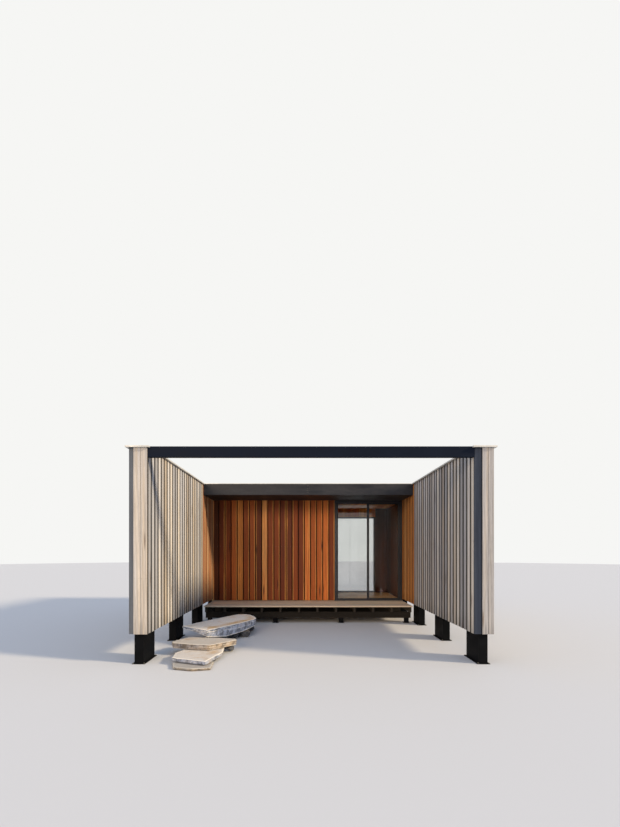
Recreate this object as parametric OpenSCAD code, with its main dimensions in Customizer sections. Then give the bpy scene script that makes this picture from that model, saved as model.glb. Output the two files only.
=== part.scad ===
// Garden office pod: a flat-roofed room and porch held between two long timber-clad wing walls.
// Millimetres, +X to the right, +Y away from the front, +Z up from the ground.
// The origin lies on the ground, under the middle of the whole footprint.
// A depth is measured from the front ends of the wing walls towards the back.

/* [Court, porch and room] */
// Clear width between the two wing walls
court_w = 5090; // [4600:10:5600]
// Depth of the open court, from the wing ends to the roof's front edge
court_d = 3870; // [3500:10:4600]
// Depth of the covered porch, from the roof's front edge to the boards of the front wall
porch_d = 1180; // [900:10:1600]
// Depth inside the room, from lining to lining
room_d = 2130; // [1900:10:3200]
// How far the roof reaches past the boards of the rear wall
rear_eave = 120; // [60:5:300]
// Height of the floor and of the deck above the ground
floor_h = 420; // [340:5:600]
// Height from the floor to the ceiling
room_h = 2700; // [2500:10:3000]

/* [Wing walls] */
// Whole thickness of a wing wall
wing_t = 295; // [240:5:360]
// Height of the lower edge of the wing boards above the deck
wing_lift = 50; // [0:5:120]
// How far the wing cappings stand out past the boards
cap_over = 40; // [20:1:80]
// Depth of the turned-down edge of the cappings
cap_edge = 25; // [16:1:45]
// Thickness of the folded capping sheet
cap_sheet = 2; // [1:0.5:4]
// Width of the blade posts under the wing walls
post_w = 140; // [90:5:170]
// Length of a blade post, front to back
post_l = 520; // [140:10:700]
// How far the first and last posts are set back from the wing ends
post_end_gap = 55; // [20:5:120]
// Number of posts under each wing wall
post_count = 5; // [3:1:8]

/* [Vertical boards] */
// Thickness of the backing layer that shows between the boards
backing_t = 20; // [12:1:30]
// How far the boards stand proud of the backing layer
board_t = 28; // [15:1:40]
// Distance from one board to the next, before the boards are spread evenly over a wall
board_pitch = 165; // [120:1:220]
// Gap between two boards on the wing walls and the rear wall
weathered_gap = 40; // [10:1:60]
// Gap between two boards on the porch's front wall
porch_gap = 27; // [10:1:60]
// Width of the set-back strip on the left wing wall's ends
left_strip_w = 80; // [40:1:130]
// Width of the set-back strip on the right wing wall's ends
right_strip_w = 115; // [40:1:130]
// Joint between the two boards on the end of a wing wall
end_joint = 3; // [1:0.5:8]

/* [Front beam] */
// Height of the steel channel between the wing walls
beam_h = 165; // [150:5:250]
// Width of the channel's flanges
beam_flange_w = 90; // [60:1:110]
// Thickness of the channel's web
beam_web_t = 8; // [6:0.5:12]
// Thickness of the channel's flanges
beam_flange_t = 11; // [8:0.5:16]
// Thickness of the plates on the channel's ends
beam_plate_t = 10; // [8:1:16]
// How far the channel is set back from the wing ends
beam_setback = 12; // [0:1:60]
// How far the channel's top lies below the top of the cappings
beam_drop = 6; // [4:1:60]

/* [Roof] */
// Height of the roof's edge, from the ceiling to the top
roof_h = 280; // [220:5:360]
// Thickness of the ceiling and soffit boards
ceiling_t = 12; // [9:1:20]
// Thickness of the dark fascia
fascia_t = 20; // [12:1:30]
// Thickness of the pale flashing on the roof's edge
flashing_t = 12; // [6:1:20]
// Width of that flashing on top of the roof
flashing_w = 70; // [50:5:150]
// How far that flashing stands out past the fascia
flashing_lip = 8; // [4:1:20]
// Height of the ribs of the roof sheet
rib_h = 24; // [15:1:35]
// Distance between two ribs
rib_pitch = 190; // [150:5:300]
// Width of a rib's flat top
rib_top_w = 24; // [16:1:34]
// Width of a rib at its foot
rib_foot_w = 44; // [36:1:60]
// Flat sheet left beside the last rib on each side, at least
rib_margin = 60; // [40:5:90]
// Thickness of the roof sheet
roof_sheet_t = 2; // [1:0.5:3]

/* [Room walls] */
// Depth of the wall framing behind the boards
stud_d = 140; // [120:5:190]
// Thickness of the timber lining inside
lining_t = 12; // [9:1:20]
// Gap between the deck and the front wall's boards
board_foot = 10; // [5:1:30]

/* [Glazed bay and door] */
// Width of the glazed bay at the right end of the front wall
bay_w = 1825; // [1600:5:2200]
// Depth of the bay's frame
frame_d = 140; // [120:5:170]
// Width of the frame's jambs and head
frame_w = 40; // [30:1:70]
// Height of the sill above the floor
sill_rise = 8; // [4:1:20]
// How far the frame is set back from the face of the front wall's boards
frame_setback = 18; // [8:1:40]
// Width of a sash's upright rails
sash_w = 48; // [40:1:80]
// Thickness of a sash
sash_t = 42; // [34:1:50]
// Thickness of the sealed glass unit
glass_t = 20; // [16:1:28]
// Clearance round the sliding sash
slide_gap = 6; // [5:0.5:9]
// Depth of the top and bottom grooves that guide the sliding sash
guide_d = 14; // [10:1:20]
// Length of the upright pull on the sliding sash
pull_l = 600; // [300:10:900]
// Width of the pull
pull_w = 20; // [14:1:30]
// How far the pull stands out from the sash
pull_out = 45; // [35:1:60]
// Thickness of the pull's bar
pull_t = 12; // [8:1:16]
// Height of the pull's middle above the floor
pull_height = 1050; // [900:10:1200]
// Distance from the pull's ends to its stand-offs
pull_end = 50; // [20:1:80]

/* [Rear window] */
// Distance of the rear window's left side from the middle of the pod
window_x = 350; // [0:10:600]
// Width of the rear window
window_w = 1850; // [1200:10:1900]
// Height of the wall over the rear window
over_window_h = 270; // [200:10:500]

/* [Floor] */
// Thickness of the floor and deck boards
floor_t = 22; // [18:1:32]
// Gap between two deck boards, and beside them
deck_gap = 5; // [3:0.5:8]
// Width of a deck board, before the boards are spread evenly
deck_board_w = 140; // [90:5:190]
// Height of the joists
joist_h = 130; // [90:5:150]
// Thickness of the joists
joist_t = 45; // [35:5:70]
// How far the joists and bearers stop short of the wing walls
frame_gap = 30; // [10:5:60]
// Number of joists
joist_count = 12; // [8:1:16]
// Height of the bearers under the joists
bearer_h = 150; // [90:5:150]
// Thickness of the bearers
bearer_t = 70; // [45:5:90]
// How far the first bearer is set back from the deck's front edge
bearer_setback = 120; // [60:5:200]
// Width of the square stumps under the bearers
stump_w = 100; // [75:5:140]
// How far the outer stumps stand in from the wing walls
stump_inset = 80; // [40:5:200]
// Number of stumps under each bearer
stump_count = 4; // [3:1:6]

/* [Stone steps] */
// How far the lowest step reaches out in front of the wing walls
step_reach = 400; // [300:10:600]
// Height of the top of the first step, nearest the deck
step_1_h = 325; // [260:5:335]
// Height of the top of the second step
step_2_h = 215; // [180:5:250]
// Height of the top of the third step
step_3_h = 115; // [90:5:150]
// Height of the top of the lowest step
step_4_h = 45; // [30:5:70]
// Thickness of the first step's slab
step_1_t = 210; // [120:5:240]
// How far the packing under a slab is set back from its edge
packing_setback = 90; // [40:5:120]
// How far a slab's worn upper edge is drawn in
slab_edge = 14; // [5:1:20]
// How far a slab's split lower edge is drawn in
slab_undercut = 20; // [10:5:60]
// Length of the thin tip at the left end of the first slab
tip_l = 400; // [100:10:600]

/* [Hidden] */

// Colours
weathered_wood = "#a89a84";
oiled_cedar = "#a4542a";
charcoal = "#2b2c2f";
zinc = "#b9b8b1";
inner_wood = "#b07845";
pale_deck = "#b9a88c";
dark_timber = "#3a3632";
frame_timber = "#c8a878";
glass_tint = "#9fb4b8";
sandstone = "#cbbfa6";

// How far a cutting solid runs past the faces it cuts
cut = 1;
// Running gap between a roller and its rail
roller_gap = 0.3;
// Size of the rail that the sliding sash rolls on
rail_w = 6;
rail_h = 4;
// Length of a roller block, and its distance from the sash's corner
roller_l = 60;
roller_inset = 80;
// Gap between the two sashes
between_sashes = 10;
// Clearance between a cut in the cappings and the channel or the roof edge's lip
lip_gap = 2;

// Layers of the walls, one after another from the front
clad_t = backing_t + board_t;
depth_front_boards = court_d + porch_d;
depth_front_wall = depth_front_boards + clad_t;
depth_front_lining = depth_front_wall + stud_d;
depth_room = depth_front_lining + lining_t;
depth_rear_lining = depth_room + room_d;
depth_rear_wall = depth_rear_lining + lining_t;
depth_rear_boards = depth_rear_wall + stud_d;
depth_roof_end = depth_rear_boards + clad_t + rear_eave;
wing_l = depth_roof_end + clad_t;
depth_frame = depth_front_boards + frame_setback;
depth_frame_end = depth_frame + frame_d;
beam_back = beam_setback + beam_flange_w;

// Across the pod
court_x = court_w / 2;
core_x = court_x + clad_t;
wing_x = court_x + wing_t;
core_t = wing_t - 2 * clad_t;
bay_x = court_x - bay_w;

// Up the pod
floor_z = floor_h - floor_t;
wing_z = floor_h + wing_lift;
ceiling_z = floor_h + room_h;
roof_z = ceiling_z + ceiling_t;
top_z = ceiling_z + roof_h;
flashing_z = top_z - flashing_t;
roof_sheet_z = flashing_z - rib_h;
window_h = room_h - over_window_h;
cap_z = top_z - cap_sheet;
// The boards' tops are hidden inside the folded capping
board_top_z = top_z - cap_edge + (cap_edge - cap_sheet) / 2;
joist_z = floor_z - joist_h;
bearer_z = joist_z - bearer_h;

// The whole footprint is centred on the origin
front_y = step_reach - (step_reach + wing_l + cap_over) / 2;

// Evenly spread boards over a length: how many, and the pitch that they then have
function board_count(length, gap) = max(1, round((length + gap) / board_pitch));
function even_pitch(length, gap) = (length + gap) / board_count(length, gap);

// Outline of a castellated wall face: proud boards on a backing layer, from 0 to length
function castellation(length, gap) = [
    [0, 0],
    for (i = [0 : board_count(length, gap) - 1])
        let (start = i * even_pitch(length, gap), end = start + even_pitch(length, gap) - gap)
        each [[start, backing_t], [start, clad_t], [end, clad_t], [end, backing_t]],
    [length, 0],
];

// A castellated layer that runs front to back, with its boards towards facing (1 right, -1 left)
module boards_along_y(length, height, facing) {
    linear_extrude(height = height)
        polygon([for (p = castellation(length, weathered_gap)) [p[1] * facing, p[0]]]);
}

// A castellated layer that runs left to right, with its boards towards facing (1 back, -1 front)
module boards_along_x(length, height, facing, gap) {
    linear_extrude(height = height)
        polygon([for (p = castellation(length, gap)) [p[0], p[1] * facing]]);
}

// A block between two corners, given as X, depth and Z
module block(low, high) {
    translate([low[0], front_y + low[1], low[2]])
        cube([high[0] - low[0], high[1] - low[1], high[2] - low[2]]);
}

// A block on both sides of the middle of the pod, from x_in to x_out
module side_block(side, x_in, x_out, low, high) {
    block([side > 0 ? x_in : -x_out, low[0], low[1]], [side > 0 ? x_out : -x_in, high[0], high[1]]);
}

// Wing walls: side is 1 for the right wall and -1 for the left one

module wing_core(side) {
    color(dark_timber)
        side_block(side, core_x, core_x + core_t, [clad_t, wing_z], [wing_l - clad_t, cap_z]);
}

module outer_cladding(side) {
    color(weathered_wood)
        translate([side * (core_x + core_t), front_y + clad_t, wing_z])
            boards_along_y(wing_l - 2 * clad_t, board_top_z - wing_z, side);
}

// The court's side of a wing wall; under the roof its boards stop at the soffit
module inner_cladding(side) {
    end = side > 0 ? depth_frame_end : depth_front_wall;
    color(weathered_wood) {
        difference() {
            translate([side * core_x, front_y + clad_t, wing_z])
                boards_along_y(end - clad_t, board_top_z - wing_z, -side);
            side_block(side, court_x - cut, core_x + cut,
                [court_d, ceiling_z], [end + cut, board_top_z + cut]);
        }
        translate([side * core_x, front_y + depth_rear_boards, wing_z])
            boards_along_y(wing_l - clad_t - depth_rear_boards, ceiling_z - wing_z, -side);
    }
}

// Outline of the boards on a wing wall's end, with the set-back strip on the left
function end_outline(strip_w) =
    let (w = (wing_t - strip_w - end_joint) / 2)
    [
        [0, 0], [0, backing_t], [strip_w, backing_t], [strip_w, clad_t],
        [strip_w + w, clad_t], [strip_w + w, backing_t],
        [strip_w + w + end_joint, backing_t], [strip_w + w + end_joint, clad_t],
        [wing_t, clad_t], [wing_t, 0],
    ];

module end_cladding(side) {
    left_x = side > 0 ? court_x : -wing_x;
    strip_w = side > 0 ? right_strip_w : left_strip_w;
    color(weathered_wood)
        for (back = [false, true])
            translate([left_x, front_y + (back ? wing_l - clad_t : clad_t), wing_z])
                linear_extrude(height = board_top_z - wing_z)
                    polygon([for (p = end_outline(strip_w)) [p[0], back ? p[1] : -p[1]]]);
}

// A folded sheet capping, notched round the channel's end; over the roof its inner edge stops at
// the wall's framing
module cap_flashing(side) {
    x_in = court_x - cap_over;
    x_out = wing_x + cap_over;
    color(zinc)
        difference() {
            side_block(side, x_in, x_out, [-cap_over, top_z - cap_edge], [wing_l + cap_over, top_z]);
            side_block(side, x_in + cap_sheet, x_out - cap_sheet,
                [cap_sheet - cap_over, top_z - cap_edge - cut], [wing_l + cap_over - cap_sheet, cap_z]);
            side_block(side, x_in - cut, court_x,
                [beam_setback - lip_gap, top_z - cap_edge - cut],
                [beam_back + lip_gap, top_z + cut]);
            side_block(side, x_in - cut, core_x,
                [court_d - flashing_lip - lip_gap, top_z - cap_edge - cut],
                [depth_roof_end + flashing_lip + lip_gap, top_z + cut]);
        }
}

// The room's side of a wing wall
module side_lining(side) {
    start = side > 0 ? depth_frame_end : depth_front_lining;
    color(inner_wood)
        side_block(side, core_x - lining_t, core_x, [start, floor_h], [depth_rear_wall, ceiling_z]);
}

// Blade posts that carry the framing of the wing walls, set in from the boards
module wing_posts() {
    x_in = core_x + (core_t - post_w) / 2;
    step = (wing_l - 2 * post_end_gap - post_l) / (post_count - 1);
    color(charcoal)
        for (side = [-1, 1], i = [0 : post_count - 1])
            let (start = post_end_gap + i * step)
            side_block(side, x_in, x_in + post_w, [start, 0], [start + post_l, wing_z]);
}

// Steel channel with its plain web to the front and a plate on each end
module front_beam() {
    beam_top = top_z - beam_drop;
    beam_z = beam_top - beam_h;
    color(charcoal) {
        difference() {
            block([-court_x, beam_setback, beam_z], [court_x, beam_back, beam_top]);
            block([beam_plate_t - court_x, beam_setback + beam_web_t, beam_z + beam_flange_t],
                [court_x - beam_plate_t, beam_back + cut, beam_top - beam_flange_t]);
        }
    }
}

// Roof, held between the framing of the two wing walls

module roof_frame() {
    color(frame_timber)
        block([-core_x, court_d + fascia_t, roof_z], [core_x, depth_roof_end - fascia_t, roof_sheet_z]);
}

// Outline of the ribbed sheet across the roof, from 0 to width
function rib_count(width) = floor((width - 2 * rib_margin) / rib_pitch) + 1;
function sheet_outline(width) =
    let (
        n = rib_count(width), start = (width - (n - 1) * rib_pitch) / 2,
        top = rib_top_w / 2, foot = rib_foot_w / 2
    )
    [
        [0, 0], [0, roof_sheet_t],
        for (i = [0 : n - 1]) let (x = start + i * rib_pitch)
            each [[x - foot, roof_sheet_t], [x - top, rib_h], [x + top, rib_h], [x + foot, roof_sheet_t]],
        [width, roof_sheet_t], [width, 0],
    ];

module roof_sheet() {
    length = depth_roof_end - court_d - 2 * fascia_t;
    color(charcoal)
        translate([-core_x, front_y + court_d + fascia_t + length, roof_sheet_z])
            rotate([90, 0, 0])
                linear_extrude(height = length)
                    polygon(sheet_outline(2 * core_x));
}

module front_fascia() {
    color(charcoal)
        block([-core_x, court_d, ceiling_z], [core_x, court_d + fascia_t, flashing_z]);
}

module rear_fascia() {
    color(charcoal)
        block([-core_x, depth_roof_end - fascia_t, ceiling_z], [core_x, depth_roof_end, flashing_z]);
}

// Pale strip on the roof's front and rear edges; its lip shows between the wing boards only
module roof_edge_flashing() {
    color(zinc) {
        block([-core_x, court_d, flashing_z], [core_x, court_d + flashing_w, top_z]);
        block([-court_x, court_d - flashing_lip, flashing_z], [court_x, court_d, top_z]);
        block([-core_x, depth_roof_end - flashing_w, flashing_z], [core_x, depth_roof_end, top_z]);
        block([-court_x, depth_roof_end, flashing_z], [court_x, depth_roof_end + flashing_lip, top_z]);
    }
}

module soffit_lining() {
    color(charcoal) {
        block([-core_x, court_d + fascia_t, ceiling_z], [core_x, depth_front_wall, roof_z]);
        block([-core_x, depth_rear_boards, ceiling_z], [core_x, depth_roof_end - fascia_t, roof_z]);
    }
}

// Boards over the room and over the glazed bay's head
module ceiling_lining() {
    color(inner_wood) {
        block([-core_x, depth_front_lining, ceiling_z], [core_x, depth_rear_wall, roof_z]);
        block([bay_x, depth_front_wall, ceiling_z], [core_x, depth_front_lining, roof_z]);
    }
}

// Front wall, left of the glazed bay

module front_wall() {
    color(frame_timber)
        block([-core_x, depth_front_wall, floor_z], [bay_x, depth_front_lining, roof_z]);
}

module front_wall_cladding() {
    foot_z = floor_h + board_foot;
    color(oiled_cedar)
        translate([-court_x, front_y + depth_front_wall, foot_z])
            boards_along_x(bay_x + court_x, ceiling_z - foot_z, -1, porch_gap);
}

module front_wall_lining() {
    color(inner_wood)
        block([lining_t - core_x, depth_front_lining, floor_h], [bay_x, depth_room, ceiling_z]);
}

// Rear wall with its window opening

module window_opening(low, high) {
    block([window_x, low - cut, floor_h], [window_x + window_w, high + cut, floor_h + window_h]);
}

module rear_wall() {
    color(frame_timber)
        difference() {
            block([-core_x, depth_rear_wall, floor_z], [core_x, depth_rear_boards, roof_z]);
            window_opening(depth_rear_wall, depth_rear_boards);
        }
}

module rear_wall_cladding() {
    foot_z = floor_h + board_foot;
    color(weathered_wood)
        difference() {
            translate([-court_x, front_y + depth_rear_boards, foot_z])
                boards_along_x(2 * court_x, ceiling_z - foot_z, 1, weathered_gap);
            translate([0, 0, -board_foot])
                window_opening(depth_rear_boards, depth_rear_boards + clad_t);
            window_opening(depth_rear_boards, depth_rear_boards + clad_t);
        }
}

module rear_wall_lining() {
    color(inner_wood)
        difference() {
            block([lining_t - core_x, depth_rear_lining, floor_h], [core_x - lining_t, depth_rear_wall, ceiling_z]);
            window_opening(depth_rear_lining, depth_rear_wall);
        }
}

module rear_window_frame() {
    start = depth_rear_wall;
    end = depth_rear_boards;
    color(charcoal)
        difference() {
            block([window_x, start, floor_h], [window_x + window_w, end, floor_h + window_h]);
            block([window_x + frame_w, start - cut, floor_h + frame_w],
                [window_x + window_w - frame_w, end + cut, floor_h + window_h - frame_w]);
        }
}

module rear_window_glass() {
    middle = (depth_rear_wall + depth_rear_boards) / 2;
    color(glass_tint, 0.4)
        block([window_x + frame_w, middle - glass_t / 2, floor_h + frame_w],
            [window_x + window_w - frame_w, middle + glass_t / 2, floor_h + window_h - frame_w]);
}

// Glazed bay: a frame, a fixed sash on the inner line and a sliding sash on the outer line

sill_z = floor_h + sill_rise;
head_z = ceiling_z - frame_w;
clear_x = bay_x + frame_w;
clear_end_x = court_x - frame_w;
clear_w = clear_end_x - clear_x;
sash_width = (clear_w + sash_w) / 2;
// The two sashes and the gap between them sit in the middle of the frame's depth
depth_slide = depth_frame + (frame_d - 2 * sash_t - between_sashes) / 2;
depth_fixed = depth_slide + sash_t + between_sashes;

module door_frame() {
    groove_low = depth_slide - slide_gap;
    groove_high = depth_slide + sash_t + slide_gap;
    rail_y = depth_slide + sash_t / 2;
    color(charcoal) {
        difference() {
            block([bay_x, depth_frame, floor_z], [court_x, depth_frame_end, ceiling_z]);
            block([clear_x, depth_frame - cut, sill_z], [clear_end_x, depth_frame_end + cut, head_z]);
            block([clear_x, groove_low, sill_z - guide_d], [clear_end_x, groove_high, sill_z + cut]);
            block([clear_x, groove_low, head_z - cut], [clear_end_x, groove_high, head_z + guide_d]);
        }
        block([clear_x, rail_y - rail_w / 2, sill_z - guide_d],
            [clear_end_x, rail_y + rail_w / 2, sill_z - guide_d + rail_h]);
    }
}

// A glazed sash's frame, between two corners given as X, depth and Z
module sash(low, high) {
    difference() {
        block(low, high);
        block([low[0] + sash_w, low[1] - cut, low[2] + sash_w], [high[0] - sash_w, high[1] + cut, high[2] - sash_w]);
    }
}

module sash_glass(low, high) {
    middle = (low[1] + high[1]) / 2;
    color(glass_tint, 0.4)
        block([low[0] + sash_w, middle - glass_t / 2, low[2] + sash_w],
            [high[0] - sash_w, middle + glass_t / 2, high[2] - sash_w]);
}

fixed_low = [clear_end_x - sash_width, depth_fixed, sill_z];
fixed_high = [clear_end_x, depth_fixed + sash_t, head_z];
rail_top = sill_z - guide_d + rail_h;
slide_low = [clear_x + slide_gap, depth_slide, rail_top + slide_gap];
slide_high = [clear_x + slide_gap + sash_width, depth_slide + sash_t, head_z + guide_d - slide_gap];

module fixed_sash() {
    color(charcoal) sash(fixed_low, fixed_high);
}

module fixed_glass() {
    sash_glass(fixed_low, fixed_high);
}

// The sliding sash stands on two roller blocks that run on the sill's rail
module sliding_sash() {
    middle = depth_slide + sash_t / 2;
    color(charcoal) {
        sash(slide_low, slide_high);
        for (x = [slide_low[0] + roller_inset, slide_high[0] - roller_inset - roller_l])
            block([x, middle - rail_w / 2, rail_top + roller_gap],
                [x + roller_l, middle + rail_w / 2, slide_low[2] + cut]);
    }
}

module sliding_glass() {
    sash_glass(slide_low, slide_high);
}

// Upright bar pull on the outside of the sliding sash, on two short stand-offs
module door_pull() {
    pull_z = floor_h + pull_height - pull_l / 2;
    x = slide_low[0] + (sash_w - pull_w) / 2;
    bar = depth_slide - pull_out;
    color(charcoal) {
        block([x, bar, pull_z], [x + pull_w, bar + pull_t, pull_z + pull_l]);
        for (z = [pull_z + pull_end, pull_z + pull_l - pull_end - pull_w])
            block([x, bar + pull_t - cut, z], [x + pull_w, depth_slide, z + pull_w]);
    }
}

// Floor, deck and what carries them

module room_floor() {
    color(inner_wood)
        block([-core_x, depth_front_lining, floor_z], [core_x, depth_rear_wall, floor_h]);
}

module porch_deck() {
    length = depth_frame - court_d;
    count = round((length + deck_gap) / (deck_board_w + deck_gap));
    width = (length + deck_gap) / count - deck_gap;
    color(pale_deck)
        for (i = [0 : count - 1])
            let (start = court_d + i * (width + deck_gap))
            block([deck_gap - court_x, start, floor_z], [court_x - deck_gap, start + width, floor_h]);
}

module floor_joists() {
    half_w = court_x - frame_gap;
    step = (2 * half_w - joist_t) / (joist_count - 1);
    color(dark_timber)
        for (i = [0 : joist_count - 1])
            let (x = i * step - half_w)
            block([x, court_d + frame_gap, joist_z], [x + joist_t, depth_rear_boards, floor_z]);
}

// Depths of the bearers: under the deck's edge, the front wall, the room's middle and the rear wall
bearer_depths = [
    court_d + bearer_setback,
    depth_front_wall + (stud_d - bearer_t) / 2,
    (depth_front_wall + depth_rear_boards - bearer_t) / 2,
    depth_rear_wall + (stud_d - bearer_t) / 2,
];

module floor_bearers() {
    color(dark_timber)
        for (d = bearer_depths)
            block([frame_gap - court_x, d, bearer_z], [court_x - frame_gap, d + bearer_t, joist_z]);
}

module floor_stumps() {
    half_w = court_x - stump_inset;
    step = (2 * half_w - stump_w) / (stump_count - 1);
    color(charcoal)
        for (d = bearer_depths, i = [0 : stump_count - 1])
            let (middle = d + bearer_t / 2)
            block([i * step - half_w, middle - stump_w / 2, 0],
                [i * step - half_w + stump_w, middle + stump_w / 2, bearer_z]);
}

// Stone steps: rough slabs, outlines given as X and depth of their corners

outline_1 = [
    [-2460, 1620], [-1870, 1145], [-1400, 1930], [-1150, 2440], [-1115, 2600],
    [-1180, 2865], [-1300, 3130], [-1430, 3215], [-1600, 3260], [-2000, 2520],
];
outline_2 = [[-2390, 720], [-2340, 605], [-1920, 475], [-1665, 425], [-1270, 880], [-1320, 985], [-1720, 1080], [-2190, 1110]];
outline_3 = [[-2215, 330], [-2170, -15], [-1950, -90], [-1580, -260], [-1435, 380], [-1470, 760], [-2060, 780]];
outline_4 = [[-2150, -60], [-2070, -300], [-1760, -step_reach], [-1480, -330], [-1510, 60], [-2040, 170]];

module slab(outline, low, high) {
    translate([0, front_y, low])
        linear_extrude(height = high - low)
            polygon(outline);
}

// An outline with each corner drawn in towards its middle by a distance
function middle_of(outline) =
    [for (k = [0, 1]) (min([for (p = outline) p[k]]) + max([for (p = outline) p[k]])) / 2];
function drawn_in(outline, distance) =
    let (m = middle_of(outline))
    [for (p = outline) m + (p - m) * (1 - distance / norm(p - m))];

// The first slab's underside, where its left end runs out in a thin tip
foot_1 = [outline_1[0] + [tip_l, 0], for (i = [1 : len(outline_1) - 1]) outline_1[i]];

// A split slab: worn along its upper edge and undercut along its lower one
module rough_slab(outline, low, high, foot) {
    hull() {
        slab(drawn_in(foot, slab_undercut), low, low + cut);
        slab(outline, low + (high - low) / 2, high - slab_edge);
        slab(drawn_in(outline, slab_edge), high - cut, high);
    }
}

// A slab that lies on the next one down, with packing stones behind that run to the ground
module lapped_step(outline, low, high, outline_below) {
    color(sandstone) {
        rough_slab(outline, low, high, outline);
        difference() {
            slab(drawn_in(outline, packing_setback), 0, low + cut);
            slab(outline_below, -cut, low);
        }
    }
}

module stone_step_1() {
    low = step_1_h - step_1_t;
    color(sandstone) {
        rough_slab(outline_1, low, step_1_h, foot_1);
        slab(drawn_in(foot_1, packing_setback), 0, low + cut);
    }
}

module stone_step_2() {
    lapped_step(outline_2, step_3_h, step_2_h, outline_3);
}

module stone_step_3() {
    lapped_step(outline_3, step_4_h, step_3_h, outline_4);
}

module stone_step_4() {
    color(sandstone) rough_slab(outline_4, 0, step_4_h, outline_4);
}

wing_core(-1);  // wing_core_left
wing_core(1);  // wing_core_right
outer_cladding(-1);  // outer_cladding_left
outer_cladding(1);  // outer_cladding_right
inner_cladding(-1);  // inner_cladding_left
inner_cladding(1);  // inner_cladding_right
end_cladding(-1);  // end_cladding_left
end_cladding(1);  // end_cladding_right
cap_flashing(-1);  // cap_flashing_left
cap_flashing(1);  // cap_flashing_right
side_lining(-1);  // side_lining_left
side_lining(1);  // side_lining_right
wing_posts();
front_beam();
roof_frame();
roof_sheet();
front_fascia();
rear_fascia();
roof_edge_flashing();
soffit_lining();
ceiling_lining();
front_wall();
front_wall_cladding();
front_wall_lining();
rear_wall();
rear_wall_cladding();
rear_wall_lining();
rear_window_frame();
rear_window_glass();
door_frame();
fixed_sash();
fixed_glass();
sliding_sash();
sliding_glass();
door_pull();
room_floor();
porch_deck();
floor_joists();
floor_bearers();
floor_stumps();
stone_step_1();
stone_step_2();
stone_step_3();
stone_step_4();
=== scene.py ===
# %% [markdown]
# # A garden office pod between two board-clad wing walls
# The real pod is a small flat-roofed room and porch. It hangs between two long timber walls that run
# on past it and make an open court, closed off at the front by one dark steel beam.
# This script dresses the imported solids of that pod. Everything is in metres, +X to the right,
# +Y away from the front and +Z up, so a board goes where the solid says and nothing is fitted by eye.

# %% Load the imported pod
import math
import random

import bmesh
import bpy
import numpy as np
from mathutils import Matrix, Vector, geometry, noise


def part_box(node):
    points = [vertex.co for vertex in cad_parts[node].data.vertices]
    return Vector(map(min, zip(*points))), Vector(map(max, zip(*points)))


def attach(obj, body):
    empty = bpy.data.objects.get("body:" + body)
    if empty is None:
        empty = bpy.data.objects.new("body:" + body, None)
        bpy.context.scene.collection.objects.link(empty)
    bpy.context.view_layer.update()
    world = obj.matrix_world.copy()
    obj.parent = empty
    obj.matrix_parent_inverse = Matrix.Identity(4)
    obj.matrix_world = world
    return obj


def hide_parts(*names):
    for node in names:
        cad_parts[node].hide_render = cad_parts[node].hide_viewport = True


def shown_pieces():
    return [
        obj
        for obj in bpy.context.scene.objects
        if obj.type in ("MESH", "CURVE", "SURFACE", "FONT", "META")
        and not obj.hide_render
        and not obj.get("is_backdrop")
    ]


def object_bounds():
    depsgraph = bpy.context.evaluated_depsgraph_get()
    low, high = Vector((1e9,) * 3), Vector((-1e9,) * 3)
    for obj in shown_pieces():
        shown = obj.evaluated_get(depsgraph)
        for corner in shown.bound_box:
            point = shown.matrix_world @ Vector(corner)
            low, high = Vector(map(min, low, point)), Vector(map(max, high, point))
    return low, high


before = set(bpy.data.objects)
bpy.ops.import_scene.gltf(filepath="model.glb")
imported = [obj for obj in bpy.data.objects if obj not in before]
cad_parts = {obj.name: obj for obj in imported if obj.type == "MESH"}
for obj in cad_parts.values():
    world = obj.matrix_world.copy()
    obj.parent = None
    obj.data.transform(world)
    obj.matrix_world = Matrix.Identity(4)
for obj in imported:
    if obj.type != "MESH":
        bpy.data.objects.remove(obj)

cad_low, cad_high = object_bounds()
print("solids:", len(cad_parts), "box:", [round(v, 3) for v in (*cad_low, *cad_high)])

# %% [markdown]
# The walls, roof and floor give the lines that all later pieces start from. They are read from the
# solids, because a number typed twice can disagree with itself. Depth runs from the front ends of the
# wing walls towards the back, as a builder would pull a tape along the court.

# %% Lines to build from
FRONT_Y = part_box("end_cladding_left")[0].y
COURT_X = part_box("inner_cladding_right")[0].x
CORE_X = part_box("wing_core_right")[0].x
(_, _, WING_Z), (WING_X, _, BOARD_TOP_Z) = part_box("outer_cladding_right")
TOP_Z = cad_high.z
FLOOR_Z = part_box("room_floor")[1].z
SOFFIT_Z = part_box("soffit_lining")[0].z
ROOF_FRONT_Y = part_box("front_fascia")[0].y
ROOF_REAR_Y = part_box("rear_fascia")[1].y
WALL_FRONT_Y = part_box("front_wall")[0].y
WALL_REAR_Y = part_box("rear_wall")[1].y
WING_REAR_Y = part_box("end_cladding_left")[1].y
print("court half width", round(COURT_X, 3), "top", round(TOP_Z, 3), "front wall at", round(WALL_FRONT_Y, 3))

# %% [markdown]
# ## Camera
# The photograph was taken from eye height on the court's axis, looking level, with the picture
# shifted upwards so that uprights stay upright. A level camera with a lens shift does the same. The
# lens comes from the vanishing point and from how the even board spacing shrinks along the walls.

# %% The camera of the photograph
EYE = Vector((-0.124, FRONT_Y - 6.86, 1.777))
eye_data = bpy.data.cameras.new("photo_camera")
eye_data.sensor_width = 36.0
eye_data.lens = 19.24
eye_data.shift_x, eye_data.shift_y = 0.0083, 0.1654
eye_data.clip_end = 200.0
camera = bpy.data.objects.new("photo_camera", eye_data)
camera.location = EYE
camera.rotation_euler = (math.radians(90), 0, 0)
bpy.context.scene.collection.objects.link(camera)
bpy.context.scene.camera = camera
print("camera at", [round(v, 3) for v in camera.location])

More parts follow.
